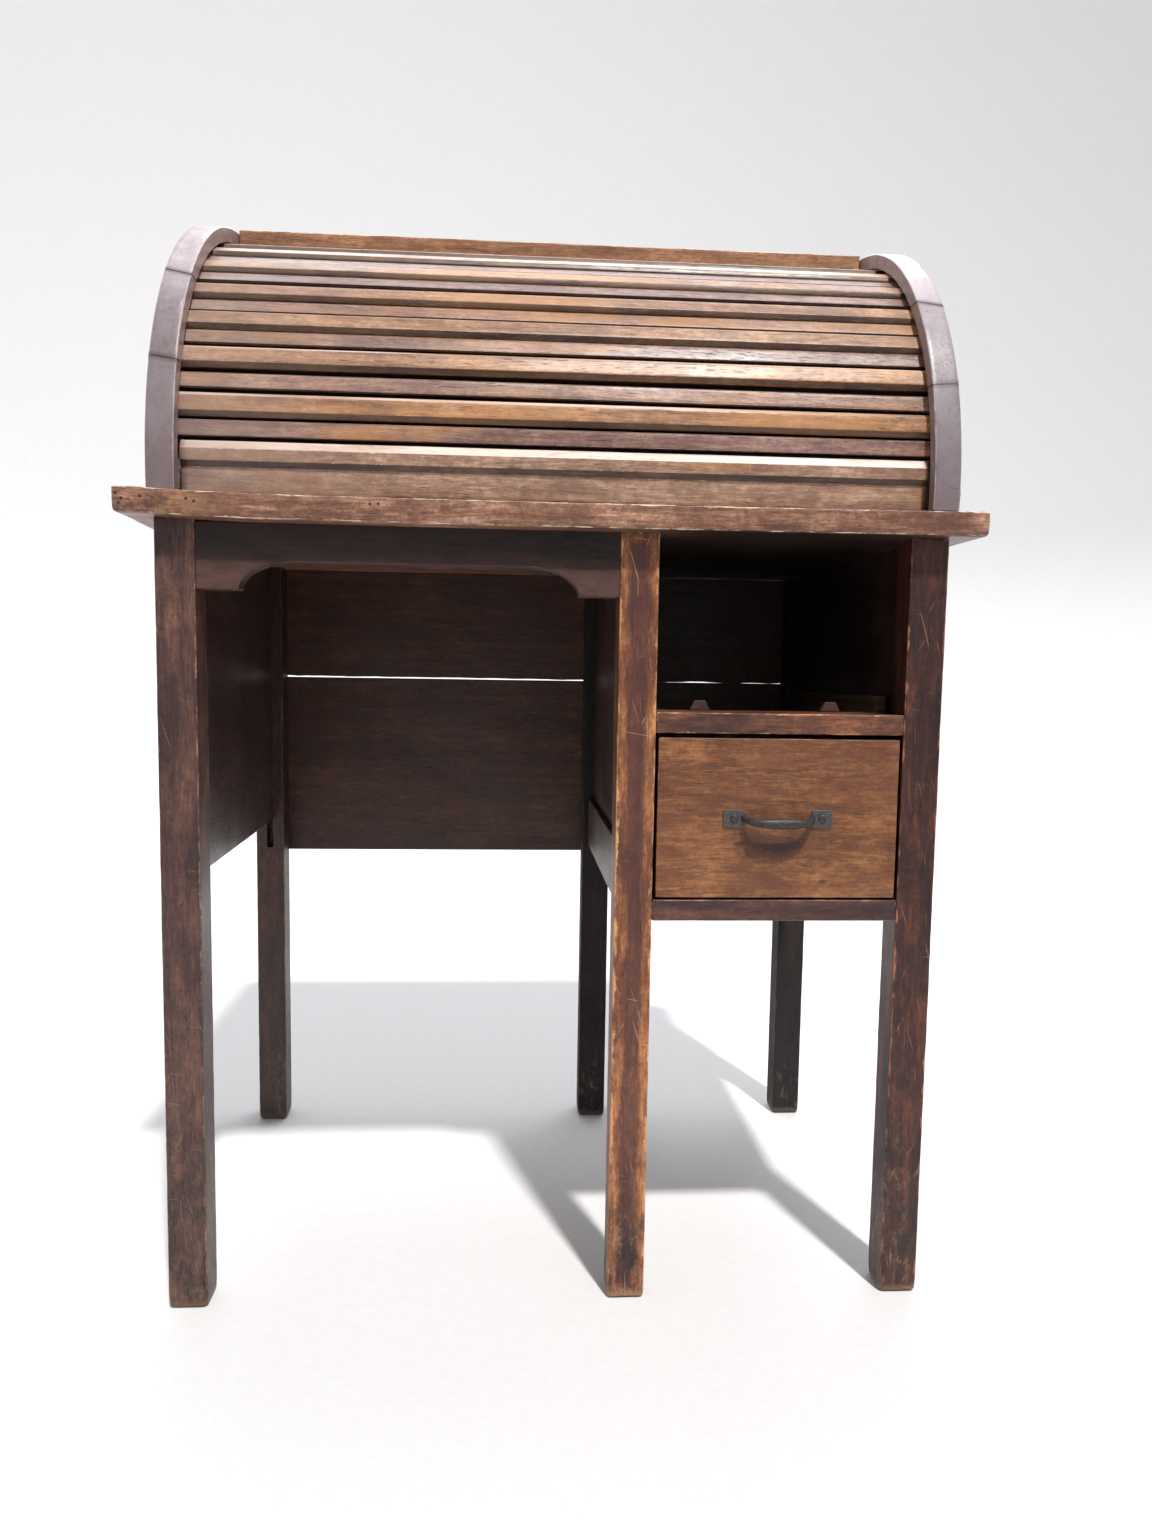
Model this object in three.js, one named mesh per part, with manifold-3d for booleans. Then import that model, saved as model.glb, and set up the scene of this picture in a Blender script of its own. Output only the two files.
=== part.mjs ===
// Small roll top desk: a six-legged frame with a knee space on the left and two drawer openings on the
// right, and a quarter-round roll case on top whose slatted tambour rolls up and back.
// Millimetres, +X to the sitter's right, +Y to the back, +Z up. Origin: on the floor, under the middle.
import * as THREE from "three";
import { mergeVertices } from "three/addons/utils/BufferGeometryUtils.js";
import Module from "manifold-3d";

const wasm = await Module();
wasm.setup();

// ---------------------------------------------------------------- driving dimensions

const desktop = { width: 762, depth: 495, height: 740, thickness: 22, cornerRadius: 5 };
const leg = { size: 35, sideInset: 28, frontInset: 20, backInset: 24, footRadius: 5 };
const middleLegX = 71;
const backLeftDrift = 13; // the back left leg has moved outwards since its side rail was lost
const underside = desktop.height - desktop.thickness;

const panel = { thickness: 8, bottom: 398 };
const sideRail = { thickness: 18, bottom: 367, top: 428, inward: 1 };
const mortise = { width: 8.5, bottom: 362, top: 426, depth: 22 };
const back = { thickness: 8, bottom: 354, split: 581, gap: 2.5 };

const apron = { bottom: 659.5, thickness: 20, setback: 0.5, flat: 37, curve: 48, rise: 25 };
const rail = { depth: 75, setback: 0.5, midBottom: 538.5, midTop: 557.5, lowBottom: 365, lowTop: 385 };
const stop = { base: 20, top: 11, height: 9.5, depth: 14, spread: 64 };
const runner = { width: 20, thickness: 19, guideHeight: 15.5 };

const drawer = {
  frontWidth: 224,
  frontBottom: 387,
  frontTop: 534.5,
  frontThickness: 19,
  sideTop: 528,
  sideBottom: 385.5,
  sideThickness: 11,
  length: 380,
  floorBottom: 394,
  floorThickness: 5,
};
const handle = {
  spread: 82,
  plateWidth: 20,
  plateHeight: 16,
  plateThickness: 2,
  bowRadius: 4.2,
  reach: 14.8,
  drop: 3,
  lift: 0.5,
};
// The bow's bends, each as (distance outwards from the end of the gap between the plates, share of the reach).
const bowBends = [
  [1.5, 0],
  [-3, 0.45],
  [-13, 0.93],
];
const screw = { headRadius: 4, headHeight: 2, shankRadius: 1.8, length: 14, slot: 1, play: 0.3 };
// The screw head's dome, as shares of its radius and height.
const screwDome = [
  [0.92, 0.45],
  [0.6, 0.85],
];

// The roll: every arc below is struck from one line across the case. The case ends rise a little higher
// than they reach forwards.
const roll = { radius: 278.5, rise: 281.5, centreY: 31, centreZ: 762.5 };
const caseSide = { thickness: 24, joints: [852, 938], jointGap: 0.5 };
const caseTop = roll.centreZ + roll.rise;
const caseBackY = desktop.depth / 2 - 1;
const topBoard = { frontY: -15.5, underside: 1024.5, passageFrom: 70, passageTo: 125 };
const caseBack = { thickness: 9 };
const falseBack = { y: 188.5, thickness: 8, top: 945 };
const groove = { inner: 251.5, outer: 267.5, depth: 8, from: -8, to: 144 };

// The tambour: proud slats with bevelled edges take turns with flatter, narrower ones.
const proudSlat = { width: 21.5, bevel: 4, drop: 3.2, face: 266 };
const flatSlat = { width: 14.5, bevel: 0.8, drop: 0.8, face: 263 };
const slatBack = 255;
const slatEndPlay = 1;
const canvas = { inner: 253.4, outer: 254.6, from: -4, to: 80 };
const liftRail = { bottom: 740.75, step: 762.75, nose: 768.25, shoulder: 778, top: 785.5 };
const liftRailFaces = { flat: 262, proud: 266, sidePlay: 1.2 };
// Distances along the arc from one slat's middle to the next, from the lift rail up: the canvas has
// stretched in use, so the lower slats no longer lie evenly.
const slatPitches = [21.9, 21, 22.2, 23.8, 21.7, 19.2, 19.6, 20.3, 24.9, 20.3];
const evenPitch = 22.3;
const slatCount = 16;
const noseMiddle = 11.8; // the middle of the lift rail's nosing, along the arc

const arcStep = THREE.MathUtils.degToRad(5);

// ---------------------------------------------------------------- places worked out from them

const halfWidth = desktop.width / 2;
const frontY = -desktop.depth / 2 + leg.frontInset;
const legBackY = desktop.depth / 2 - leg.backInset;
const backLegY = legBackY - leg.size;
const behindFrontLeg = frontY + leg.size;
const leftLegX = -halfWidth + leg.sideInset + leg.size / 2;
const rightLegX = -leftLegX;
const kneeLeft = leftLegX + leg.size / 2;
const kneeRight = middleLegX - leg.size / 2;
const bayLeft = middleLegX + leg.size / 2;
const bayRight = rightLegX - leg.size / 2;
const bayMiddle = (bayLeft + bayRight) / 2;
const railFrontY = frontY + rail.setback;
const railBackY = railFrontY + rail.depth;
const caseOuterX = halfWidth - leg.sideInset - 0.5;
const caseInnerX = caseOuterX - caseSide.thickness;

// ---------------------------------------------------------------- materials

const finish = (color, roughness, metalness = 0) => ({ color, roughness, metalness });
const finishes = {
  leg: finish(0x5a3a2a, 0.62),
  dark: finish(0x3a2620, 0.68),
  panel: finish(0x35231b, 0.6),
  top: finish(0x7a4c35, 0.55),
  case: finish(0x6d4a40, 0.5),
  proud: finish(0xa07048, 0.5),
  flat: finish(0x8a6048, 0.52),
  drawer: finish(0x8a4f26, 0.5),
  inside: finish(0x8c6a48, 0.75),
  canvas: finish(0x6b5d4a, 0.95),
  iron: finish(0x2b2a2c, 0.5, 0.8),
};

// ---------------------------------------------------------------- geometry helpers

const X = new THREE.Vector3(1, 0, 0);
const Y = new THREE.Vector3(0, 1, 0);
const Z = new THREE.Vector3(0, 0, 1);

function box([x0, x1], [y0, y1], [z0, z1]) {
  return new THREE.BoxGeometry(x1 - x0, y1 - y0, z1 - z0).translate(
    (x0 + x1) / 2,
    (y0 + y1) / 2,
    (z0 + z1) / 2,
  );
}

function shapeOf(points) {
  return new THREE.Shape(points.map(([a, b]) => new THREE.Vector2(a, b)));
}

function extrude(shape, depth, curveSegments = 6) {
  return new THREE.ExtrudeGeometry(shape, { depth, bevelEnabled: false, curveSegments });
}

// A side view, drawn as (y, z), as long as the span in x.
function acrossX(points, [x0, x1]) {
  const turn = new THREE.Matrix4().makeBasis(Y, Z, X).setPosition(x0, 0, 0);
  return extrude(shapeOf(points), x1 - x0).applyMatrix4(turn);
}

// A front view, drawn as (x, z), as deep as the span in y.
function acrossY(shape, [y0, y1]) {
  const turn = new THREE.Matrix4().makeBasis(X, Z, Y.clone().negate()).setPosition(0, y1, 0);
  return extrude(shape, y1 - y0).applyMatrix4(turn);
}

// A plan, drawn as (x, y), as high as the span in z.
function upright(points, [z0, z1]) {
  return extrude(shapeOf(points), z1 - z0).translate(0, 0, z0);
}

// A point at a radius and an angle on the roll: 0 faces the sitter, 90 degrees is the top.
function onRoll(radius, angle) {
  return [roll.centreY - radius * Math.cos(angle), roll.centreZ + radius * Math.sin(angle)];
}

function arcPoints(radius, from, to) {
  const steps = Math.ceil(Math.abs(to - from) / arcStep);
  return Array.from({ length: steps + 1 }, (_, i) => onRoll(radius, from + ((to - from) * i) / steps));
}

function ringSector({ inner, outer, from, to }, spanX) {
  const [a, b] = [from, to].map(THREE.MathUtils.degToRad);
  return acrossX([...arcPoints(outer, b, a), ...arcPoints(inner, a, b)], spanX);
}

function solid(geometry) {
  const plain = geometry.clone();
  plain.deleteAttribute("normal");
  plain.deleteAttribute("uv");
  const merged = mergeVertices(plain, 1e-4);
  return new wasm.Manifold(
    new wasm.Mesh({
      numProp: 3,
      vertProperties: merged.attributes.position.array,
      triVerts: new Uint32Array(merged.index.array),
    }),
  );
}

function geometryOf(made) {
  const { vertProperties, triVerts } = made.getMesh();
  const geometry = new THREE.BufferGeometry();
  geometry.setAttribute("position", new THREE.BufferAttribute(vertProperties, 3));
  geometry.setIndex(new THREE.BufferAttribute(triVerts, 1));
  geometry.computeVertexNormals();
  return geometry;
}

function cut(from, ...tools) {
  return geometryOf(tools.reduce((made, tool) => made.subtract(solid(tool)), solid(from)));
}

function join(first, ...others) {
  return geometryOf(others.reduce((made, other) => made.add(solid(other)), solid(first)));
}

const desk = new THREE.Group();

function piece(name, geometry, look) {
  const mesh = new THREE.Mesh(geometry, new THREE.MeshStandardMaterial(finishes[look]));
  mesh.name = name;
  desk.add(mesh);
}

// ---------------------------------------------------------------- legs

function legGeometry(x, y) {
  const half = leg.size / 2;
  const r = leg.footRadius;
  const outline = new THREE.Shape();
  outline.moveTo(x - half + r, 0);
  outline.lineTo(x + half - r, 0);
  outline.absarc(x + half - r, r, r, -Math.PI / 2, 0, false);
  outline.lineTo(x + half, underside);
  outline.lineTo(x - half, underside);
  outline.lineTo(x - half, r);
  outline.absarc(x - half + r, r, r, Math.PI, 1.5 * Math.PI, false);
  return acrossY(outline, [y, y + leg.size]);
}

function emptyMortise(x, y) {
  const half = mortise.width / 2;
  return box([x - half, x + half], y, [mortise.bottom, mortise.top]);
}

function makeLegs() {
  const columns = { left: leftLegX, middle: middleLegX, right: rightLegX };
  for (const [column, x] of Object.entries(columns)) {
    const isLeft = column === "left";
    const front = legGeometry(x, frontY);
    const frontSlot = emptyMortise(x, [behindFrontLeg - mortise.depth, behindFrontLeg + 1]);
    piece(`leg_front_${column}`, isLeft ? cut(front, frontSlot) : front, "leg");
    const backX = isLeft ? x - backLeftDrift : x;
    const rear = legGeometry(backX, backLegY);
    const rearSlot = emptyMortise(backX, [backLegY - 1, backLegY + mortise.depth]);
    piece(`leg_back_${column}`, isLeft ? cut(rear, rearSlot) : rear, "leg");
  }
}

// ---------------------------------------------------------------- panels and rails of the frame

function sidePanelPlan(frontX, rearX) {
  const half = panel.thickness / 2;
  return [
    [frontX - half, behindFrontLeg],
    [frontX + half, behindFrontLeg],
    [rearX + half, backLegY],
    [rearX - half, backLegY],
  ];
}

function makeSidePanels() {
  const plans = {
    left_side_panel: [leftLegX, leftLegX - backLeftDrift, panel.bottom],
    partition_panel: [middleLegX, middleLegX, sideRail.top],
    right_side_panel: [rightLegX, rightLegX, sideRail.top],
  };
  for (const [name, [frontX, rearX, bottom]] of Object.entries(plans)) {
    piece(name, upright(sidePanelPlan(frontX, rearX), [bottom, underside]), "panel");
  }
}

function makeSideRails() {
  const half = sideRail.thickness / 2;
  const spans = {
    partition_rail: middleLegX - sideRail.inward,
    right_side_rail: rightLegX + sideRail.inward,
  };
  for (const [name, x] of Object.entries(spans)) {
    const body = box([x - half, x + half], [behindFrontLeg, backLegY], [sideRail.bottom, sideRail.top]);
    piece(name, body, "dark");
  }
}

function makeBackBoards() {
  const x = [leftLegX - backLeftDrift - leg.size / 2, rightLegX + leg.size / 2];
  const y = [legBackY, legBackY + back.thickness];
  piece("back_board_lower", box(x, y, [back.bottom, back.split]), "panel");
  piece("back_board_upper", box(x, y, [back.split + back.gap, underside]), "panel");
}

// The apron's lower edge rises in a quarter ellipse at each end of the knee space.
function makeApron() {
  const outline = new THREE.Shape();
  const springLeft = kneeLeft + apron.flat;
  const springRight = kneeRight - apron.flat;
  const { bottom, curve, rise } = apron;
  outline.moveTo(kneeLeft, bottom);
  outline.lineTo(springLeft, bottom);
  outline.absellipse(springLeft + curve, bottom, curve, rise, Math.PI, Math.PI / 2, true);
  outline.lineTo(springRight - curve, bottom + rise);
  outline.absellipse(springRight - curve, bottom, curve, rise, Math.PI / 2, 0, true);
  outline.lineTo(kneeRight, bottom);
  outline.lineTo(kneeRight, underside);
  outline.lineTo(kneeLeft, underside);
  const y = frontY + apron.setback;
  piece("apron", acrossY(outline, [y, y + apron.thickness]), "dark");
}

// ---------------------------------------------------------------- drawer bay

function makeDrawerRails() {
  const bay = [bayLeft, bayRight];
  const depth = [railFrontY, railBackY];
  piece("middle_rail", box(bay, depth, [rail.midBottom, rail.midTop]), "leg");
  piece("bottom_rail", box(bay, depth, [rail.lowBottom, rail.lowTop]), "dark");
}

// Two small wedges on the middle rail that the missing upper drawer closed against.
function makeDrawerStops() {
  for (const [side, sign] of Object.entries({ left: -1, right: 1 })) {
    const x = bayMiddle + sign * stop.spread;
    const outline = shapeOf([
      [x - stop.base / 2, rail.midTop],
      [x + stop.base / 2, rail.midTop],
      [x + stop.top / 2, rail.midTop + stop.height],
      [x - stop.top / 2, rail.midTop + stop.height],
    ]);
    piece(`drawer_stop_${side}`, acrossY(outline, [railBackY - stop.depth, railBackY]), "dark");
  }
}

// Each runner carries a drawer side, and its raised edge guides it.
function makeRunners() {
  const levels = { upper: rail.midTop, lower: rail.lowTop };
  const partitionFace = middleLegX - sideRail.inward + sideRail.thickness / 2;
  const sides = {
    left: [partitionFace, bayLeft, bayLeft + runner.width],
    right: [rightLegX + sideRail.inward - sideRail.thickness / 2, bayRight, bayRight - runner.width],
  };
  const ordered = (a, b) => [Math.min(a, b), Math.max(a, b)];
  for (const [level, top] of Object.entries(levels)) {
    const bottom = top - runner.thickness;
    for (const [side, [wall, guide, edge]] of Object.entries(sides)) {
      const bed = box(ordered(wall, edge), [railBackY, backLegY], [bottom, top]);
      const height = [bottom, top + runner.guideHeight];
      const kick = box(ordered(wall, guide), [behindFrontLeg, backLegY], height);
      piece(`runner_${level}_${side}`, join(bed, kick), "inside");
    }
  }
}

const handleZ = (drawer.frontBottom + drawer.frontTop) / 2 + handle.lift;
const plateFrontY = railFrontY - handle.plateThickness;

function makeDrawer() {
  const half = drawer.frontWidth / 2;
  const front = box(
    [bayMiddle - half, bayMiddle + half],
    [railFrontY, railFrontY + drawer.frontThickness],
    [drawer.frontBottom, drawer.frontTop],
  );
  const drill = screw.shankRadius + screw.play;
  const holes = [-1, 1].map((sign) =>
    new THREE.CylinderGeometry(drill, drill, 2 * screw.length, 16).translate(
      bayMiddle + (sign * handle.spread) / 2,
      railFrontY,
      handleZ,
    ),
  );
  piece("drawer_front", cut(front, ...holes), "drawer");

  const y0 = railFrontY + drawer.frontThickness;
  const y1 = railFrontY + drawer.length;
  const t = drawer.sideThickness;
  const height = [drawer.sideBottom, drawer.sideTop];
  piece("drawer_side_left", box([bayMiddle - half, bayMiddle - half + t], [y0, y1], height), "inside");
  piece("drawer_side_right", box([bayMiddle + half - t, bayMiddle + half], [y0, y1], height), "inside");
  const between = [bayMiddle - half + t, bayMiddle + half - t];
  const aboveFloor = [drawer.floorBottom + drawer.floorThickness, drawer.sideTop];
  piece("drawer_back", box(between, [y1 - t, y1], aboveFloor), "inside");
  const floor = [drawer.floorBottom, drawer.floorBottom + drawer.floorThickness];
  piece("drawer_bottom", box(between, [y0, y1], floor), "inside");
}

// A bow pull: two plates with a bar that bends out and slightly down between them.
function makeHandle() {
  const inner = (handle.spread - handle.plateWidth) / 2;
  const foot = railFrontY - handle.plateThickness / 2;
  const bend = (sign, along, out) =>
    new THREE.Vector3(bayMiddle + sign * along, foot - out * handle.reach, handleZ - handle.drop * out);
  const half = (sign) => bowBends.map(([past, out]) => bend(sign, inner + past, out));
  const path = new THREE.CatmullRomCurve3([...half(-1), bend(1, 0, 1), ...half(1).reverse()]);
  const section = new THREE.Shape().absellipse(0, 0, handle.bowRadius, handle.bowRadius, 0, 2 * Math.PI);
  const bow = new THREE.ExtrudeGeometry(section, {
    steps: 24,
    curveSegments: 5,
    bevelEnabled: false,
    extrudePath: path,
  });
  const behindPlates = box(
    [bayMiddle - handle.spread, bayMiddle + handle.spread],
    [railFrontY, railFrontY + 2 * handle.bowRadius],
    [handleZ - handle.plateHeight, handleZ + handle.plateHeight],
  );
  const hole = screw.shankRadius + screw.play;
  const plates = [-1, 1].map((sign) => {
    const x = bayMiddle + (sign * handle.spread) / 2;
    return cut(
      box(
        [x - handle.plateWidth / 2, x + handle.plateWidth / 2],
        [plateFrontY, railFrontY],
        [handleZ - handle.plateHeight / 2, handleZ + handle.plateHeight / 2],
      ),
      new THREE.CylinderGeometry(hole, hole, 4 * handle.plateThickness, 16).translate(x, railFrontY, handleZ),
    );
  });
  piece("drawer_handle", join(cut(bow, behindPlates), ...plates), "iron");
}

// Slotted round-head screws, lathed head upwards and turned to point into the drawer front.
function makeHandleScrews() {
  const { headRadius, headHeight, shankRadius, length, slot, play } = screw;
  const profile = [
    [0, -length],
    [shankRadius, -length + shankRadius],
    [shankRadius, 0],
    [headRadius, 0],
    ...screwDome.map(([out, up]) => [out * headRadius, up * headHeight]),
    [0, headHeight],
  ].map(([r, h]) => new THREE.Vector2(r, h));
  const turned = new THREE.LatheGeometry(profile, 20);
  const slotBox = new THREE.BoxGeometry(3 * headRadius, headHeight, slot).translate(0, headHeight, 0);
  const slotted = cut(turned, slotBox);
  const headForward = new THREE.Matrix4().makeRotationX(Math.PI);
  for (const [side, sign] of Object.entries({ left: -1, right: 1 })) {
    const place = slotted.clone().applyMatrix4(headForward);
    place.translate(bayMiddle + (sign * handle.spread) / 2, plateFrontY - play, handleZ);
    piece(`handle_screw_${side}`, place, "iron");
  }
}

// ---------------------------------------------------------------- desktop and roll case

function makeDesktop() {
  const r = desktop.cornerRadius;
  const outline = new THREE.Shape();
  outline.moveTo(-halfWidth + r, underside);
  outline.lineTo(halfWidth - r, underside);
  outline.absarc(halfWidth - r, underside + r, r, -Math.PI / 2, 0, false);
  outline.lineTo(halfWidth, desktop.height);
  outline.lineTo(-halfWidth, desktop.height);
  outline.lineTo(-halfWidth, underside + r);
  outline.absarc(-halfWidth + r, underside + r, r, Math.PI, 1.5 * Math.PI, false);
  piece("desktop", acrossY(outline, [-desktop.depth / 2, desktop.depth / 2]), "top");
}

// The case ends' curved edge between two heights, from the upper one down.
function caseEdge(z0, z1) {
  const stretch = roll.rise / roll.radius;
  const angleAt = (z) => Math.asin((z - roll.centreZ) / roll.rise);
  const raise = ([y, z]) => [y, roll.centreZ + (z - roll.centreZ) * stretch];
  return arcPoints(roll.radius, angleAt(z1), angleAt(z0)).map(raise);
}

// Each end of the case is three boards glued edge to edge and sawn to the arc, with the slats' groove
// ploughed in its inner face.
function makeCaseSides() {
  const half = caseSide.jointGap / 2;
  const [low, high] = caseSide.joints;
  const boards = {
    lower: [desktop.height, low - half],
    middle: [low + half, high - half],
    upper: [high + half, caseTop],
  };
  for (const [side, sign] of Object.entries({ left: -1, right: 1 })) {
    const span = [sign * caseOuterX, sign * caseInnerX].sort((a, b) => a - b);
    const mouth = sign * (caseInnerX + groove.depth);
    const grooveSpan = [mouth, sign * (caseInnerX - 1)].sort((a, b) => a - b);
    const track = ringSector(groove, grooveSpan);
    for (const [level, [z0, z1]] of Object.entries(boards)) {
      const outline = [...caseEdge(z0, z1), [caseBackY, z0], [caseBackY, z1]];
      const board = acrossX(outline, span);
      piece(`case_${side}_${level}`, cut(board, track), "case");
    }
  }
}

// The top board's underside is hollowed where the tambour passes closest.
function makeTopBoard() {
  const x = [-caseInnerX, caseInnerX];
  const board = box(x, [topBoard.frontY, caseBackY], [topBoard.underside, caseTop]);
  const reach = { from: topBoard.passageFrom, to: topBoard.passageTo };
  const passage = ringSector({ ...groove, ...reach }, [-caseInnerX - 1, caseInnerX + 1]);
  piece("case_top_board", cut(board, passage), "case");
}

function makeCaseBacks() {
  const x = [-caseInnerX, caseInnerX];
  const rear = [caseBackY - caseBack.thickness, caseBackY];
  piece("case_back", box(x, rear, [desktop.height, topBoard.underside]), "panel");
  const { y, thickness, top } = falseBack;
  piece("case_false_back", box(x, [y, y + thickness], [desktop.height, top]), "panel");
}

// ---------------------------------------------------------------- tambour

// A slat's section, drawn as (along the arc, away from the centre), laid at an angle on the roll.
function slatGeometry(section, angle, length) {
  const along = new THREE.Vector3(0, Math.sin(angle), Math.cos(angle));
  const outward = new THREE.Vector3(0, -Math.cos(angle), Math.sin(angle));
  const turn = new THREE.Matrix4().makeBasis(along, outward, X);
  turn.setPosition(-length / 2, roll.centreY, roll.centreZ);
  return extrude(shapeOf(section), length).applyMatrix4(turn);
}

function slatSection({ width, bevel, drop, face }) {
  const half = width / 2;
  return [
    [-half, slatBack],
    [-half, face - drop],
    [-half + bevel, face],
    [half - bevel, face],
    [half, face - drop],
    [half, slatBack],
  ].reverse();
}

function makeSlats() {
  const length = 2 * (caseInnerX + groove.depth - slatEndPlay);
  const meanRadius = (proudSlat.face + flatSlat.face) / 2;
  let arc = noseMiddle;
  for (let i = 0; i < slatCount; i++) {
    arc += slatPitches[i] ?? evenPitch;
    const kind = i % 2 ? proudSlat : flatSlat;
    const name = `slat_${String(i + 1).padStart(2, "0")}`;
    const body = slatGeometry(slatSection(kind), arc / meanRadius, length);
    piece(name, body, i % 2 ? "proud" : "flat");
  }
}

// The lift rail is one board: a flat strip at the bottom under a bevelled nosing.
function makeLiftRail() {
  const { flat, proud, sidePlay } = liftRailFaces;
  const heights = [
    [liftRail.bottom, slatBack],
    [liftRail.bottom, flat],
    [liftRail.step, flat],
    [liftRail.nose, proud],
    [liftRail.shoulder, proud],
    [liftRail.top, flat],
    [liftRail.top, slatBack],
  ];
  const section = heights.map(([z, radius]) => [z - roll.centreZ, radius]).reverse();
  piece("lift_rail", slatGeometry(section, 0, 2 * (caseInnerX - sidePlay)), "proud");
}

function makeCanvas() {
  const span = [-caseInnerX + liftRailFaces.sidePlay, caseInnerX - liftRailFaces.sidePlay];
  piece("tambour_canvas", ringSector(canvas, span), "canvas");
}

makeLegs();
makeSidePanels();
makeSideRails();
makeBackBoards();
makeApron();
makeDrawerRails();
makeDrawerStops();
makeRunners();
makeDrawer();
makeHandle();
makeHandleScrews();
makeDesktop();
makeCaseSides();
makeTopBoard();
makeCaseBacks();
makeLiftRail();
makeSlats();
makeCanvas();

export default desk;
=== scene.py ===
# A small roll top desk in old oak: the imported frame, its worn boards, its slatted roll and its iron pull.
# Metres, +X to the sitter's right, +Y to the back, +Z up, with the floor at zero.
import math
import random

import bmesh
import bpy
from mathutils import Matrix, Vector, noise
from mathutils.geometry import delaunay_2d_cdt


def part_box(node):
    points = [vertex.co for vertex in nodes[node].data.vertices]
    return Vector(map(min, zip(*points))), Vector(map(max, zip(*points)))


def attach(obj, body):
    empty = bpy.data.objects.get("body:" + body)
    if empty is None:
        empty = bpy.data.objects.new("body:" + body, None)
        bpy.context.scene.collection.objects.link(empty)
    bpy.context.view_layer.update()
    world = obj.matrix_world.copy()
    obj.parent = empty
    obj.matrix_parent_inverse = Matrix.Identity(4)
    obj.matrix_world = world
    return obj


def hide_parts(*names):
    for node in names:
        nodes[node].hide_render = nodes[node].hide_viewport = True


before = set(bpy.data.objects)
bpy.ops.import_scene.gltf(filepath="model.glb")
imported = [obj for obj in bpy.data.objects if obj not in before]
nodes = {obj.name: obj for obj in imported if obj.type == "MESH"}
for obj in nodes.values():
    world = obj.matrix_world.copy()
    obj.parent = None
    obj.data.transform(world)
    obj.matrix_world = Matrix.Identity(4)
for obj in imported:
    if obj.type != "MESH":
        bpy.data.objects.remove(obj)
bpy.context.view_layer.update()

MM = 0.001
FRAME, DRAWER, TAMBOUR = "desk_frame", "drawer", "tambour"

# The line that every arc of the roll is struck from, and the radii of its parts.
ROLL_Y, ROLL_Z = 31 * MM, 762.5 * MM
RIM, RISE = 278.5 * MM, 281.5 * MM
GROOVE_IN, GROOVE_OUT, GROOVE_DEPTH = 251.5 * MM, 267.5 * MM, 8 * MM

# Stretches of the roll in degrees: 0 faces the sitter and 90 is the top.
GROOVE_SPAN, PASSAGE_SPAN, CANVAS_SPAN = (-8, 144), (70, 125), (-4, 80)

SHARP_ANGLE = math.radians(38)


# ---------------------------------------------------------------- camera, light and stage

CAMERA_PLACE = Vector((-0.04596, -1.1765, 0.5921))
CAMERA_TURN, CAMERA_TILT, CAMERA_ROLL = 0.0656, -0.0903, 0.0155
CAMERA_LENS = 24.76


def set_camera():
    forward = Vector((
        math.sin(CAMERA_TURN) * math.cos(CAMERA_TILT),
        math.cos(CAMERA_TURN) * math.cos(CAMERA_TILT),
        math.sin(CAMERA_TILT),
    ))
    level = Vector((math.cos(CAMERA_TURN), -math.sin(CAMERA_TURN), 0))
    upright = level.cross(forward)
    right = level * math.cos(CAMERA_ROLL) + upright * math.sin(CAMERA_ROLL)
    up = upright * math.cos(CAMERA_ROLL) - level * math.sin(CAMERA_ROLL)
    turn = Matrix((right, up, -forward)).transposed().to_4x4()
    data = bpy.data.cameras.new("camera")
    data.sensor_width, data.lens = 36, CAMERA_LENS
    data.clip_start, data.clip_end = 0.05, 60
    camera = bpy.data.objects.new("camera", data)
    camera.matrix_world = Matrix.Translation(CAMERA_PLACE) @ turn
    bpy.context.scene.collection.objects.link(camera)
    bpy.context.scene.camera = camera


def add_lamp(name, kind, place, aim, energy, color=(1, 1, 1), **settings):
    data = bpy.data.lights.new(name, kind)
    data.energy, data.color = energy, color
    for key, value in settings.items():
        setattr(data, key, value)
    lamp = bpy.data.objects.new(name, data)
    lamp.location = place
    lamp.rotation_mode = "QUATERNION"
    lamp.rotation_quaternion = (Vector(aim) - Vector(place)).to_track_quat("-Z", "Y")
    bpy.context.scene.collection.objects.link(lamp)


KEY_HEIGHT, KEY_SIDE, KEY_AWAY = math.radians(61), 0.16, 3


def set_light():
    world = bpy.data.worlds.new("studio")
    world.use_nodes = True
    sky = world.node_tree.nodes["Background"]
    sky.inputs["Color"].default_value = (0.96, 0.97, 1, 1)
    sky.inputs["Strength"].default_value = 0.3
    bpy.context.scene.world = world
    middle = Vector((0, 0, 0.75))
    key = Vector((KEY_SIDE, -math.cos(KEY_HEIGHT), math.sin(KEY_HEIGHT))) * KEY_AWAY
    add_lamp("key", "SUN", middle + key, middle, 3.4, (1, 0.98, 0.955), angle=math.radians(3))
    add_lamp("ceiling", "AREA", (0.2, 1.2, 2.9), middle, 60, (0.95, 0.96, 1), size=2.4)
    view = bpy.context.scene.view_settings
    view.view_transform = "Standard"
    view.look = "None"
    view.exposure = 0


SWEEP_FLAT, SWEEP_CURVE, SWEEP_HEIGHT, SWEEP_SIDES = 3.2, 1.3, 5.0, 72


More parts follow.
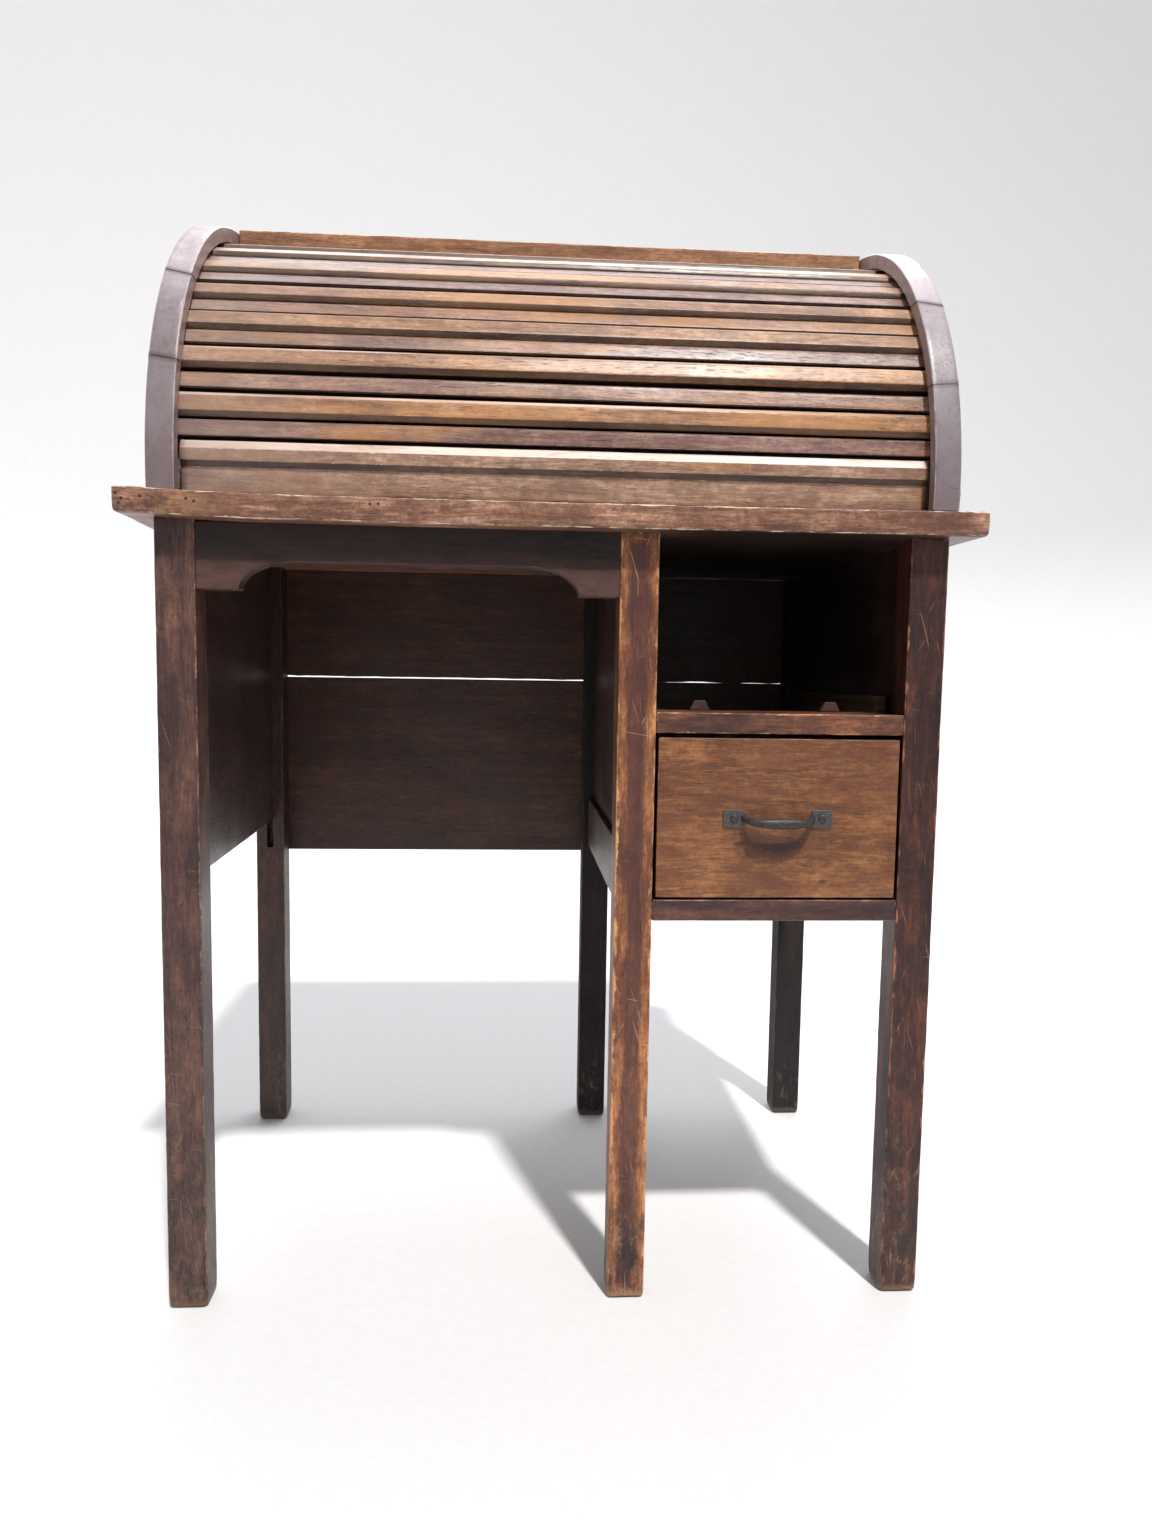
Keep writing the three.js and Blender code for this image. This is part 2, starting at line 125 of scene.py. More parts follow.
def set_stage():
    """A round pale floor that curves up into a wall."""
    profile = [(0.2 * i * SWEEP_FLAT, 0) for i in range(1, 6)]
    bend = [math.radians(7.5 * i) for i in range(1, 13)]
    profile += [(SWEEP_FLAT + SWEEP_CURVE * math.sin(a), SWEEP_CURVE * (1 - math.cos(a))) for a in bend]
    profile.append((SWEEP_FLAT + SWEEP_CURVE, SWEEP_HEIGHT))
    around = [2 * math.pi * s / SWEEP_SIDES for s in range(SWEEP_SIDES)]
    points = [(0, 0, 0)] + [(r * math.cos(a), r * math.sin(a), z) for r, z in profile for a in around]
    faces = [(0, 1 + s, 1 + (s + 1) % SWEEP_SIDES) for s in range(SWEEP_SIDES)]
    faces += [tuple(1 + i for i in reversed(quad)) for quad in tube_faces(len(profile), SWEEP_SIDES)]
    sweep = as_piece("floor", points, faces)
    finish = Finish("pale_floor")
    speckle = finish.noise(finish.place, 90, detail=3)
    tone = finish.ramp(speckle, (0.3, (0.74, 0.74, 0.745)), (0.7, (0.77, 0.77, 0.775)))
    sweep.data.materials.append(finish.done(tone, roughness=0.9, Specular_IOR_Level=0.1))


# ---------------------------------------------------------------- mixing a finish from nodes

AXES = {"X": 0, "Y": 1, "Z": 2}


def shade(red, green, blue):
    """A colour given 0 to 255, as the linear numbers that the shader takes."""
    def linear(v):
        v /= 255
        return v / 12.92 if v <= 0.04045 else ((v + 0.055) / 1.055) ** 2.4
    return linear(red), linear(green), linear(blue)


class Wiring:
    """A node tree in the making: each call adds a node and gives back what comes out of it."""

    def __init__(self, tree):
        self.tree = tree

    def put(self, socket, value):
        if isinstance(value, bpy.types.NodeSocket):
            self.tree.links.new(value, socket)
        elif isinstance(value, (tuple, list)) and len(value) == 3 and socket.type == "RGBA":
            socket.default_value = (*value, 1)
        else:
            socket.default_value = value

    def node(self, kind, inputs, out=0, **settings):
        node = self.tree.nodes.new(kind)
        for key, value in settings.items():
            setattr(node, key, value)
        for key, value in inputs.items():
            self.put(node.inputs[key], value)
        return node.outputs[out]

    def math(self, operation, a, b=0.0, clamp=False):
        return self.node("ShaderNodeMath", {0: a, 1: b}, operation=operation, use_clamp=clamp)

    def plus(self, a, b, clamp=False):
        return self.math("ADD", a, b, clamp)

    def minus(self, a, b, clamp=False):
        return self.math("SUBTRACT", a, b, clamp)

    def times(self, a, b, clamp=False):
        return self.math("MULTIPLY", a, b, clamp)


class Finish(Wiring):
    """A material in the making."""

    def __init__(self, name):
        self.material = bpy.data.materials.new(name)
        self.material.use_nodes = True
        super().__init__(self.material.node_tree)
        self.shader = self.tree.nodes["Principled BSDF"]
        coordinates = self.tree.nodes.new("ShaderNodeTexCoord")
        self.place = coordinates.outputs["Object"]
        self.facing = coordinates.outputs["Normal"]

    def add(self, kind, inputs, out=0, **settings):
        return self.node("ShaderNode" + kind, inputs, out, **settings)

    def mark(self, name):
        return self.add("Attribute", {}, out=2, attribute_name=name)

    def remap(self, value, low, high, to_low=0.0, to_high=1.0):
        sockets = {0: value, 1: low, 2: high, 3: to_low, 4: to_high}
        return self.add("MapRange", sockets, interpolation_type="SMOOTHSTEP")

    def mix(self, amount, a, b, blend="MIX"):
        sockets = {0: amount, 6: a, 7: b}
        return self.add("Mix", sockets, out=2, data_type="RGBA", blend_type=blend, clamp_factor=True)

    def ramp(self, value, *stops):
        node = self.tree.nodes.new("ShaderNodeValToRGB")
        points = node.color_ramp.elements
        while len(points) < len(stops):
            points.new(0.5)
        for point, (position, color) in zip(points, stops):
            point.position = position
            point.color = (*color, 1)
        self.put(node.inputs[0], value)
        return node.outputs[0]

    def part(self, vector, axis):
        return self.add("SeparateXYZ", {0: vector}, out=AXES[axis])

    def stretched(self, along, slack, vector=None):
        """The place, drawn out along the grain."""
        scale = [1, 1, 1]
        scale[AXES[along]] = slack
        return self.add("Mapping", {"Vector": vector or self.place, "Scale": scale})

    def noise(self, vector, scale, detail=4, rough=0.55, lot=0.0, distortion=0.0):
        inputs = {"Vector": vector, "W": lot, "Scale": scale, "Detail": detail,
                  "Roughness": rough, "Distortion": distortion}
        return self.add("TexNoise", inputs, noise_dimensions="4D")

    def patch(self, centre, size):
        """1 in a soft-edged ellipsoid, 0 outside it."""
        away = self.add("VectorMath", {0: self.place, 1: centre}, operation="SUBTRACT")
        scaled = self.add("VectorMath", {0: away, 1: size}, operation="DIVIDE")
        return self.remap(self.add("VectorMath", {0: scaled}, out=1, operation="LENGTH"), 1, 0.35)

    def bump(self, height, depth, under=None):
        inputs = {"Strength": 1.0, "Distance": depth, "Height": height}
        if under is not None:
            inputs["Normal"] = under
        return self.add("Bump", inputs)

    def done(self, color, roughness, normal=None, **constants):
        self.put(self.shader.inputs["Base Color"], color)
        self.put(self.shader.inputs["Roughness"], roughness)
        if normal is not None:
            self.put(self.shader.inputs["Normal"], normal)
        for key, value in constants.items():
            self.put(self.shader.inputs[key.replace("_", " ")], value)
        return self.material


def oak(name, along, deep, body, pale, stain=None, worn=None, foot=None, figure=1.0, gloss=0.5,
        scratches=0.0, coat=0.12, extra=None, ragged=150):
    """Old oak with a stained finish. along is the axis of the grain, and deep, body and pale are its
    colours, as shade takes them. stain is (color, amount, scale), and worn is (color, width, amount)
    for the rubbed arrises."""
    f = Finish(name)
    deep, body, pale = shade(*deep), shade(*body), shade(*pale)
    lot = f.times(f.mark("lot"), 37.0)
    wander = f.noise(f.stretched(along, 0.3), 5, detail=2, lot=lot)
    drift = f.add("VectorMath", {0: f.place, 1: f.times(wander, 0.03)}, operation="ADD")
    drawn = f.stretched(along, 0.09, drift)
    rings = f.noise(drawn, 70 * figure, detail=5, rough=0.62, lot=lot, distortion=0.9)
    fibre = f.noise(drawn, 430, detail=5, rough=0.72, lot=lot)
    fine = f.noise(f.stretched(along, 0.1, drift), 820, detail=2, rough=0.6, lot=lot)
    clouds = f.noise(f.place, 9, detail=5, rough=0.6, lot=lot)
    color = f.ramp(rings, (0.3, deep), (0.5, body), (0.7, pale))
    color = f.mix(f.remap(fibre, 0.3, 0.62, 0.75, 0), color, deep)
    color = f.mix(f.remap(fibre, 0.5, 0.72, 0, 0.55), color, pale)
    blotch = f.noise(f.stretched(along, 0.6), 30, detail=7, rough=0.76, lot=lot)
    color = f.mix(f.remap(blotch, 0.36, 0.58, 0.65, 0), color, deep)
    color = f.mix(f.remap(blotch, 0.53, 0.7, 0, 0.45), color, pale)
    mottle = f.noise(f.stretched(along, 0.7), 170, detail=6, rough=0.8, lot=lot)
    color = f.mix(f.remap(mottle, 0.4, 0.55, 0.5, 0), color, deep)
    color = f.mix(f.remap(mottle, 0.55, 0.68, 0, 0.4), color, pale)
    open_pores = f.times(f.remap(fine, 0.56, 0.68), f.remap(rings, 0.35, 0.6, 1, 0.35))
    dark = tuple(0.35 * c for c in deep)
    color = f.mix(f.times(open_pores, 0.75), color, dark)
    color = f.mix(f.remap(clouds, 0.3, 0.7, 0.35, 0), color, deep)
    if stain:
        tint, amount, scale = stain
        spread = f.noise(f.stretched(along, 0.35), scale, detail=6, rough=0.68, lot=lot)
        color = f.mix(f.remap(spread, 0.62 - 0.25 * amount, 0.68, 0, 0.85), color, shade(*tint))
    if extra:
        color = extra(f, color, lot)
    rubbed_and_highlit = 0.0
    if worn:
        tint, width, amount = worn
        torn = f.noise(f.stretched(along, 0.3), ragged, detail=6, rough=0.75, lot=lot)
        reach = f.remap(torn, 0.35, 0.75, -0.6 * width, 2.4 * width * amount)
        rubbed_and_highlit = f.remap(f.minus(reach, f.mark("inset")), -0.3 * width, 0.5 * width)
        color = f.mix(f.times(rubbed_and_highlit, f.remap(fibre, 0.25, 0.5, 0.6, 1)), color, shade(*tint))
    if foot:
        color = foot(f, color, lot)
    if scratches:
        color = scratched(f, color, lot, scratches)
    ends = f.math("ABSOLUTE", f.part(f.facing, along))
    color = f.mix(f.remap(ends, 0.75, 0.95, 0, 0.6), color, dark)
    relief = f.minus(f.times(fibre, 0.6), f.times(open_pores, 0.9))
    normal = f.bump(relief, 0.35 * MM)
    smooth = f.remap(clouds, 0.25, 0.75, gloss - 0.09, gloss + 0.12)
    rough = f.plus(smooth, f.times(open_pores, 0.2), clamp=True)
    if worn:
        rough = f.plus(rough, f.times(rubbed_and_highlit, 0.18), clamp=True)
    return f.done(color, rough, normal, Coat_Weight=coat, Coat_Roughness=0.32, Specular_IOR_Level=0.45)


def scratched(f, color, lot, amount):
    """Short pale scratches lying at odd angles."""
    pale = shade(196, 160, 128)
    gathered = f.remap(f.noise(f.place, 16, detail=3, lot=lot), 0.46, 0.62, 0.1, 1)
    ways = ((0.3, 0.035, 560), (-0.5, 0.06, 640), (1.4, 0.05, 820), (0.05, 0.03, 900))
    for angle, slack, fineness in ways:
        turned = f.add("VectorRotate", {"Vector": f.place, "Axis": (0, 1, 0), "Angle": angle},
                       rotation_type="AXIS_ANGLE")
        line = f.noise(f.stretched("Z", slack, turned), fineness, detail=1, rough=0.4, lot=lot)
        color = f.mix(f.times(f.remap(line, 0.7, 0.76, 0, amount), gathered), color, pale)
    return color


# ---------------------------------------------------------------- making pieces

def as_piece(name, points, faces, marks=None):
    mesh = bpy.data.meshes.new(name)
    mesh.from_pydata([tuple(p) for p in points], [], faces)
    for key, values in (marks or {}).items():
        mesh.attributes.new(key, "FLOAT", "POINT").data.foreach_set("value", values)
    mesh.shade_smooth()
    piece = bpy.data.objects.new(name, mesh)
    bpy.context.scene.collection.objects.link(piece)
    return piece


def tube_faces(rows, size, capped=False):
    """The faces between rows of points that each run round a section, and over both ends if capped."""
    faces = []
    for k in range(rows - 1):
        for i in range(size):
            j = (i + 1) % size
            faces.append((k * size + i, k * size + j, (k + 1) * size + j, (k + 1) * size + i))
    if capped:
        faces += [tuple(range(size)), tuple(range((rows - 1) * size, rows * size))]
    return faces


def limited(value):
    return max(0, min(1, value))


def lot_of(name):
    return random.Random(name).random()


def mark_lot(piece):
    """A number of its own for each board, so that no two have the same figure."""
    values = [lot_of(piece.name)] * len(piece.data.vertices)
    piece.data.attributes.new("lot", "FLOAT", "POINT").data.foreach_set("value", values)


def stations(length, radius, step):
    """Distances along one side of a board, close together where its edges are rounded."""
    ends = [d for d in (0, 0.35 * radius, 0.7 * radius, radius, 2.2 * radius, 4.5 * radius)
            if d < 0.46 * length]
    count = max(1, round((length - 2 * ends[-1]) / step))
    middle = [ends[-1] + (length - 2 * ends[-1]) * i / count for i in range(1, count)]
    return ends + middle + [length - d for d in reversed(ends)]


FOOT_REACH = 12 * MM


def board(name, low, high, radius=1.3 * MM, step=8 * MM, foot=0.0, shape=None, chips=1.0):
    """A board with rounded and knocked arrises, which fills the box from low to high. foot is how much
    rounder it is at its lower end, and shape moves its points."""
    low, high = Vector(low), Vector(high)
    places = [stations(high[a] - low[a], radius, step) for a in range(3)]
    last = [len(p) - 1 for p in places]
    number, points, inset, faces = {}, [], [], []
    offset = Vector((lot_of(name) * 90, 0, 0))

    def corner(key):
        if key not in number:
            number[key] = len(points)
            p = Vector([low[a] + places[a][key[a]] for a in range(3)])
            distances = sorted(min(p[a] - low[a], high[a] - p[a]) for a in range(3))
            inset.append(distances[1])
            r = radius * (1 + 0.5 * noise.noise(p * 60 + offset))
            r += foot * max(0, 1 - (p.z - low.z) / FOOT_REACH)
            limits = [min(r, 0.49 * (high[a] - low[a])) for a in range(3)]
            core = Vector([min(max(p[a], low[a] + limits[a]), high[a] - limits[a]) for a in range(3)])
            out = p - core
            points.append(core + out.normalized() * min(limits) if out.length > 0 else p)
        return number[key]

    for axis in range(3):
        u, v = (axis + 1) % 3, (axis + 2) % 3
        for side in (0, last[axis]):
            for i in range(last[u]):
                for j in range(last[v]):
                    quad = []
                    for du, dv in ((0, 0), (1, 0), (1, 1), (0, 1)):
                        key = [0, 0, 0]
                        key[axis], key[u], key[v] = side, i + du, j + dv
                        quad.append(corner(tuple(key)))
                    faces.append(quad if side else quad[::-1])
    piece = as_piece(name, points, faces, {"inset": inset})
    if shape:
        for vertex in piece.data.vertices:
            vertex.co = shape(vertex.co)
    mark_lot(piece)
    weather(piece, chips=chips)
    return piece


def weather(piece, wear=1.0, chips=1.0):
    """Small hollows on the faces and knocks along the arrises, all of them inwards."""
    offset = Vector((0, lot_of(piece.name) * 70, 0))
    mesh = piece.data
    moves = []
    for vertex in mesh.vertices:
        p, n = vertex.co, vertex.normal
        arris = min(1, 3.4 * (1 - max(abs(n.x), abs(n.y), abs(n.z))))
        hollow = 0.16 * MM * wear * (1 + noise.noise(p * 13 + offset))
        knock = max(0, noise.noise(p * 42 + offset) - 0.18) + 2 * max(0, noise.noise(p * 105 + offset) - 0.4)
        moves.append(n * (hollow + 1.5 * MM * chips * arris * knock))
    for vertex, move in zip(mesh.vertices, moves):
        vertex.co -= move
    mesh.update()


def slab(name, outline, span, place, radius, tight=None, rings=(1.2 * MM,), chips=1.0, layers=3):
    """A flat piece sawn to an outline, which runs anticlockwise, with rounded arrises. place(a, b, c)
    gives the point at (a, b) on the outline and c through the thickness. tight(a, b) is the share of the
    radius that the arris has there."""
    count = len(outline)
    flat = [Vector(p) for p in outline]
    inward = []
    for i, here in enumerate(flat):
        before, after = (here - flat[i - 1]).normalized(), (flat[(i + 1) % count] - here).normalized()
        n0, n1 = Vector((-before.y, before.x)), Vector((-after.y, after.x))
        inward.append((n0 + n1) / max(0.35, 1 + n0.dot(n1)))
    share = [tight(*p) if tight else 1 for p in outline]
    thick = span[1] - span[0]
    quarter = [math.radians(a) for a in (0, 22.5, 45, 67.5, 90)]
    levels = [(0, r, 0) for r in reversed(rings)]
    levels += [(1 - math.sin(a), 0, 1 - math.cos(a)) for a in quarter]
    profile = [(s, extra, d, 0) for s, extra, d in levels]
    profile += [(0, 0, 0, i / (layers + 1)) for i in range(1, layers + 1)]
    profile += [(s, extra, d, 1) for s, extra, d in reversed(levels)]
    points, inset = [], []
    for s, extra, d, through in profile:
        for p, n, w in zip(flat, inward, share):
            r = radius * w
            depth = {0: r * d, 1: thick - r * d}.get(through, thick * through)
            off = r * s + extra
            q = p + n * off
            points.append(place(q.x, q.y, span[0] + depth))
            inset.append(max(off, min(depth, thick - depth)))
    faces = tube_faces(len(profile), count)
    border = [p + n * (radius * w + max((0, *rings))) for p, n, w in zip(flat, inward, share)]
    inside, triangles = fill(border)
    for first, c in ((0, span[0]), ((len(profile) - 1) * count, span[1])):
        start = len(points)
        points += [place(q.x, q.y, c) for q in inside]
        inset += [10 * MM] * len(inside)
        faces += [tuple(first + i if i < count else start + i - count for i in t) for t in triangles]
    piece = as_piece(name, points, faces, {"inset": inset})
    face_outwards(piece)
    mark_lot(piece)
    weather(piece, wear=0, chips=chips)
    return piece


FILL_GRID = 12 * MM


def fill(border):
    """Triangles over the inside of a closed border, with a grid of points inside it."""
    low = [min(p[a] for p in border) for a in (0, 1)]
    high = [max(p[a] for p in border) for a in (0, 1)]
    steps = [max(1, round((high[a] - low[a]) / FILL_GRID)) for a in (0, 1)]
    extra = [Vector((low[0] + (high[0] - low[0]) * i / steps[0], low[1] + (high[1] - low[1]) * j / steps[1]))
             for i in range(1, steps[0]) for j in range(1, steps[1])]
    count = len(border)
    ring = [(i, (i + 1) % count) for i in range(count)]
    _, _, made, sources, _, _ = delaunay_2d_cdt(border + extra, ring, [tuple(range(count))], 1, 1e-7)
    triangles = [tuple(sources[i][0] for i in face) for face in made]
    used = sorted({i for t in triangles for i in t if i >= count})
    number = {old: count + k for k, old in enumerate(used)}
    inside = [extra[old - count] for old in used]
    return inside, [tuple(number.get(i, i) for i in t) for t in triangles]


def face_outwards(piece):
    made = bmesh.new()
    made.from_mesh(piece.data)
    bmesh.ops.remove_doubles(made, verts=made.verts, dist=1e-7)
    bmesh.ops.triangulate(made, faces=[f for f in made.faces if len(f.verts) > 4])
    bmesh.ops.recalc_face_normals(made, faces=made.faces)
    made.to_mesh(piece.data)
    made.free()
    piece.data.shade_smooth()


def settle(piece):
    """Applies a piece's modifiers, and leaves it a plain mesh."""
    graph = bpy.context.evaluated_depsgraph_get()
    mesh = bpy.data.meshes.new_from_object(piece.evaluated_get(graph))
    piece.modifiers.clear()
    piece.data = mesh
    return piece


def carve(piece, *cutters):
    """Takes the cutters' shapes out of a piece."""
    for cutter in cutters:
        tool = piece.modifiers.new("carve", "BOOLEAN")
        tool.operation, tool.solver, tool.object = "DIFFERENCE", "MANIFOLD", cutter
    bpy.context.view_layer.update()
    settle(piece)
    for cutter in cutters:
        bpy.data.objects.remove(cutter)
    piece.data.shade_smooth()
    piece.data.set_sharp_from_angle(angle=SHARP_ANGLE)
    return piece


def block(name, low, high):
    x, y, z = zip(low, high)
    points = [(x[i], y[j], z[k]) for i in (0, 1) for j in (0, 1) for k in (0, 1)]
    faces = [(0, 1, 3, 2), (4, 6, 7, 5), (0, 4, 5, 1), (2, 3, 7, 6), (0, 2, 6, 4), (1, 5, 7, 3)]
    piece = as_piece(name, points, faces)
    face_outwards(piece)
    return piece


def on_roll(radius, degrees):
    """A point (y, z) on the roll: 0 faces the sitter and 90 is the top."""
    a = math.radians(degrees)
    return ROLL_Y - radius * math.cos(a), ROLL_Z + radius * math.sin(a)


def arc(radius, start, end):
    """Points on the roll, a degree apart or a little less."""
    count = max(1, math.ceil(abs(end - start)))
    return [on_roll(radius, start + (end - start) * i / count) for i in range(count + 1)]


def from_side(y, z, x):
    return Vector((x, y, z))


def from_front(x, z, y):
    return Vector((x, y, z))


def ring_cutter(name, inner, outer, start, end, span):
    outline = arc(outer, end, start) + arc(inner, start, end)
    points = [(x, y, z) for x in span for y, z in outline]
    piece = as_piece(name, points, tube_faces(2, len(outline), capped=True))
    face_outwards(piece)
    return piece


def stand_for(piece, look, body, slot, *names):
    """Finishes a piece: its look, the CAD body that it rides on, and the nodes that it stands for."""
    piece.data.materials.clear()
    piece.data.materials.append(look)
    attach(piece, body)
    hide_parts(*(names or (piece.name.removesuffix("_worn"),)))
    return piece


def board_for(node, look, body, slot, **settings):
    """A worn board in the place of a CAD node."""
    return stand_for(board(node + "_worn", *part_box(node), **settings), look, body, slot, node)


# ---------------------------------------------------------------- finishes

CREAM = (232, 212, 190)
# Near-black: soot in the nail holes and the damp stains, and the painted contact shadow under the legs.
SOOT_AND_SHADOW = shade(26, 20, 20)


def worn_foot(top, dust):
    """Near the floor a leg is speckled with dust and black damp stains, and bare at its very end, where a
    thin near-black band along the bottom edge is a painted contact shadow.
    """
    def treat(f, color, lot):
        height = f.part(f.place, "Z")
        speckle = f.noise(f.stretched("Z", 0.5), 120, detail=6, rough=0.75, lot=lot)
        blots = f.noise(f.stretched("Z", 0.4), 34, detail=6, rough=0.7, lot=lot)
        low = f.remap(height, top, 0.03)
        color = f.mix(f.times(low, f.remap(blots, 0.45, 0.6, 0, 0.85)), color, SOOT_AND_SHADOW)
        color = f.mix(f.times(low, f.remap(speckle, 0.52, 0.66, 0, 0.8)), color, dust)
        bare = f.plus(height, f.times(speckle, 0.012))
        color = f.mix(f.remap(bare, 16 * MM, 9 * MM, 0, 0.75), color, dust)
        # Painted contact shadow: the lowest 2.5 mm of the leg goes near-black.
        return f.mix(f.remap(height, 2.5 * MM, 1.2 * MM), color, SOOT_AND_SHADOW)
    return treat


def leg_look(name, *colours, foot, dust, **more):
    return oak(name, "Z", *colours, foot=worn_foot(foot, shade(*dust)), **more)


def dark_core(tint, width, amount):
    """The finish keeps its old dark colour down the middle of the face."""
    def treat(f, color, lot):
        ragged = f.noise(f.stretched("Z", 0.2), 60, detail=5, rough=0.7, lot=lot)
        inset = f.plus(f.mark("inset"), f.times(f.minus(ragged, 0.5), 1.6 * width))
        return f.mix(f.remap(inset, 0.6 * width, 1.4 * width, 0, amount), color, shade(*tint))
    return treat


def slat_tone_and_light(f, color, lot):
    """Each slat has faded its own way, with golden patches; over that come painted shade on the lower bevels,
    near-black painted shade on the hidden sides in the gaps, a painted highlight on the upper bevels and a
    grey painted sheen on the left of the roll.
    """
    own = f.mark("lot")
    tint = f.ramp(own, (0.0, (0.8, 0.76, 0.76)), (0.35, (0.98, 0.96, 0.92)), (0.7, (1.04, 0.95, 0.84)),
                  (1.0, (0.88, 0.82, 0.84)))
    color = f.mix(1.0, color, tint, "MULTIPLY")
    golden = f.noise(f.stretched("X", 0.25), 14, detail=5, rough=0.65, lot=lot)
    color = f.mix(f.remap(golden, 0.5, 0.64, 0, 0.6), color, shade(190, 132, 70))
    uneven = f.noise(f.stretched("X", 0.12), 60, detail=5, rough=0.65, lot=lot)
    grime = f.times(f.mark("grime"), f.remap(uneven, 0.3, 0.6, 0.95, 0.7))
    sheen_patches = f.noise(f.stretched("X", 0.3), 9, detail=3, lot=lot)
    # Painted highlight on the upper bevels, broken up in patches.
    rub = f.times(f.mark("rub"), f.remap(uneven, 0.3, 0.6, 0.35, 0.9))
    rub = f.times(rub, f.remap(sheen_patches, 0.36, 0.6, 0.15, 1))
    color = f.mix(rub, color, shade(246, 220, 204))
    # Painted sheen: a grey haze over the left of the roll.
    left_sheen = f.remap(f.part(f.place, "X"), -0.12, -0.36, 0, 0.5)
    color = f.mix(f.times(left_sheen, f.remap(sheen_patches, 0.3, 0.6, 0.6, 1)), color, shade(156, 138, 130))
    # Painted shade on the lower bevels.
    color = f.mix(grime, color, shade(38, 19, 16))
    # Painted shade: the hidden sides in the gaps go near-black.
    return f.mix(f.times(f.mark("deep"), 0.94), color, shade(22, 13, 12))


# Places on the drawer front and the desktop's edge: (centre, size) of each, and (x, z) of each hole.
HANDS = ((0.205, -0.227, 0.452), (0.075, 0.05, 0.045))
# Two rings: the pull's painted shadow is the part of the lower ring that lies outside the upper one.
BOW_SHADOW_LOW = ((0.203, -0.227, 0.447), (0.036, 0.05, 0.026))
BOW_SHADOW_HIGH = ((0.203, -0.227, 0.453), (0.034, 0.05, 0.024))
KNOTS = (((0.167, -0.227, 0.437), 0.006), ((0.247, -0.227, 0.402), 0.005))
GOLDEN_PATCH = ((-0.318, -0.2475, 0.729), (0.034, 0.03, 0.02))
WORN_END = ((-0.36, -0.2475, 0.729), (0.09, 0.05, 0.03))
# Where the underside over the drawer bay gets painted shade.
SHADE_OVER_THE_BAY = ((0.2, 0, 0.718), (0.3, 0.64, 0.2))
NAIL_HOLES = ((-0.377, 0.7365), (-0.3725, 0.7325), (-0.3745, 0.7285), (-0.357, 0.7345), (-0.319, 0.7335),
              (-0.3125, 0.7315), (-0.165, 0.7325), (-0.158, 0.733))


def drawer_marks(f, color, lot):
    """Dark hand marks round the pull, the pull's painted shadow as a dark curved band below it, and a few
    small knots.
    """
    rough = f.noise(f.place, 30, detail=5, rough=0.7, lot=lot)
    hands = f.times(f.patch(*HANDS), f.remap(rough, 0.35, 0.65))
    color = f.mix(f.times(hands, 0.5), color, shade(66, 36, 26))
    # Painted shadow of the bow: a dark curved band just below it.
    bow_shadow = f.minus(f.patch(*BOW_SHADOW_LOW), f.patch(*BOW_SHADOW_HIGH), clamp=True)
    bow_shadow = f.times(bow_shadow, f.remap(rough, 0.2, 0.6, 0.7, 1.0))
    color = f.mix(f.times(bow_shadow, 1.6, clamp=True), color, shade(58, 30, 22))
    for centre, size in KNOTS:
        knot = f.patch(centre, (size, size, 0.6 * size))
        color = f.mix(f.times(knot, 0.7), color, shade(52, 28, 20))
    return color


def desktop_marks(f, color, lot):
    """Nail holes at the left end, a golden patch beside them, and painted shade on the underside over the
    drawer bay.
    """
    rough = f.noise(f.place, 70, detail=6, rough=0.75, lot=lot)
    speckle = f.noise(f.place, 240, detail=4, rough=0.7, lot=lot)
    color = f.mix(f.remap(speckle, 0.5, 0.64, 0, 0.4), color, shade(96, 58, 48))
    golden = f.times(f.patch(*GOLDEN_PATCH), f.remap(rough, 0.4, 0.6))
    color = f.mix(f.times(golden, 0.4), color, shade(196, 146, 84))
    worn_end = f.times(f.patch(*WORN_END), f.remap(rough, 0.45, 0.62))
    color = f.mix(f.times(worn_end, 0.8), color, shade(70, 44, 40))
    for x, z in NAIL_HOLES:
        hole = f.patch((x, -0.2475, z), (1.9 * MM, 6 * MM, 1.9 * MM))
        color = f.mix(hole, color, SOOT_AND_SHADOW)
    # Painted shade: the underside over the drawer bay goes near-black.
    under = f.times(f.remap(f.part(f.facing, "Z"), -0.5, -0.9), f.patch(*SHADE_OVER_THE_BAY))
    return f.mix(f.times(under, 0.95), color, shade(28, 18, 16))


def rim_sheen_and_dirt(f, color, lot):
    """The curved edges of the case ends carry a pale lilac painted reflection, strongest in the upper middle
    and on the right, and their broad sides are browner; ground-in dirt and dark joints lie over both.
    """
    cloudy = f.noise(f.place, 26, detail=6, rough=0.72, lot=lot)
    z = f.part(f.place, "Z")
    height = f.times(f.remap(z, 0.75, 0.83, 0.42, 0.8), f.remap(z, 0.88, 0.98, 1, 0.7))
    right = f.remap(f.part(f.place, "X"), -0.1, 0.1, 0, 0.15)
    share = f.times(f.plus(height, right, clamp=True), f.remap(cloudy, 0.32, 0.6, 0.55, 1))
    broad = f.remap(f.math("ABSOLUTE", f.part(f.facing, "X")), 0.75, 0.95)
    color = f.mix(f.times(broad, 0.6), color, shade(124, 88, 70))
    share = f.times(share, f.minus(1, f.times(broad, 0.7)))
    # Painted reflection: the pale lilac sheen on the edges.
    color = f.mix(share, color, shade(196, 188, 196))
    ground_in = f.noise(f.place, 210, detail=5, rough=0.75, lot=lot)
    color = f.mix(f.remap(ground_in, 0.54, 0.66, 0, 0.4), color, shade(112, 88, 88))
    return f.mix(f.times(f.mark("joint"), 0.8), color, shade(44, 30, 30))


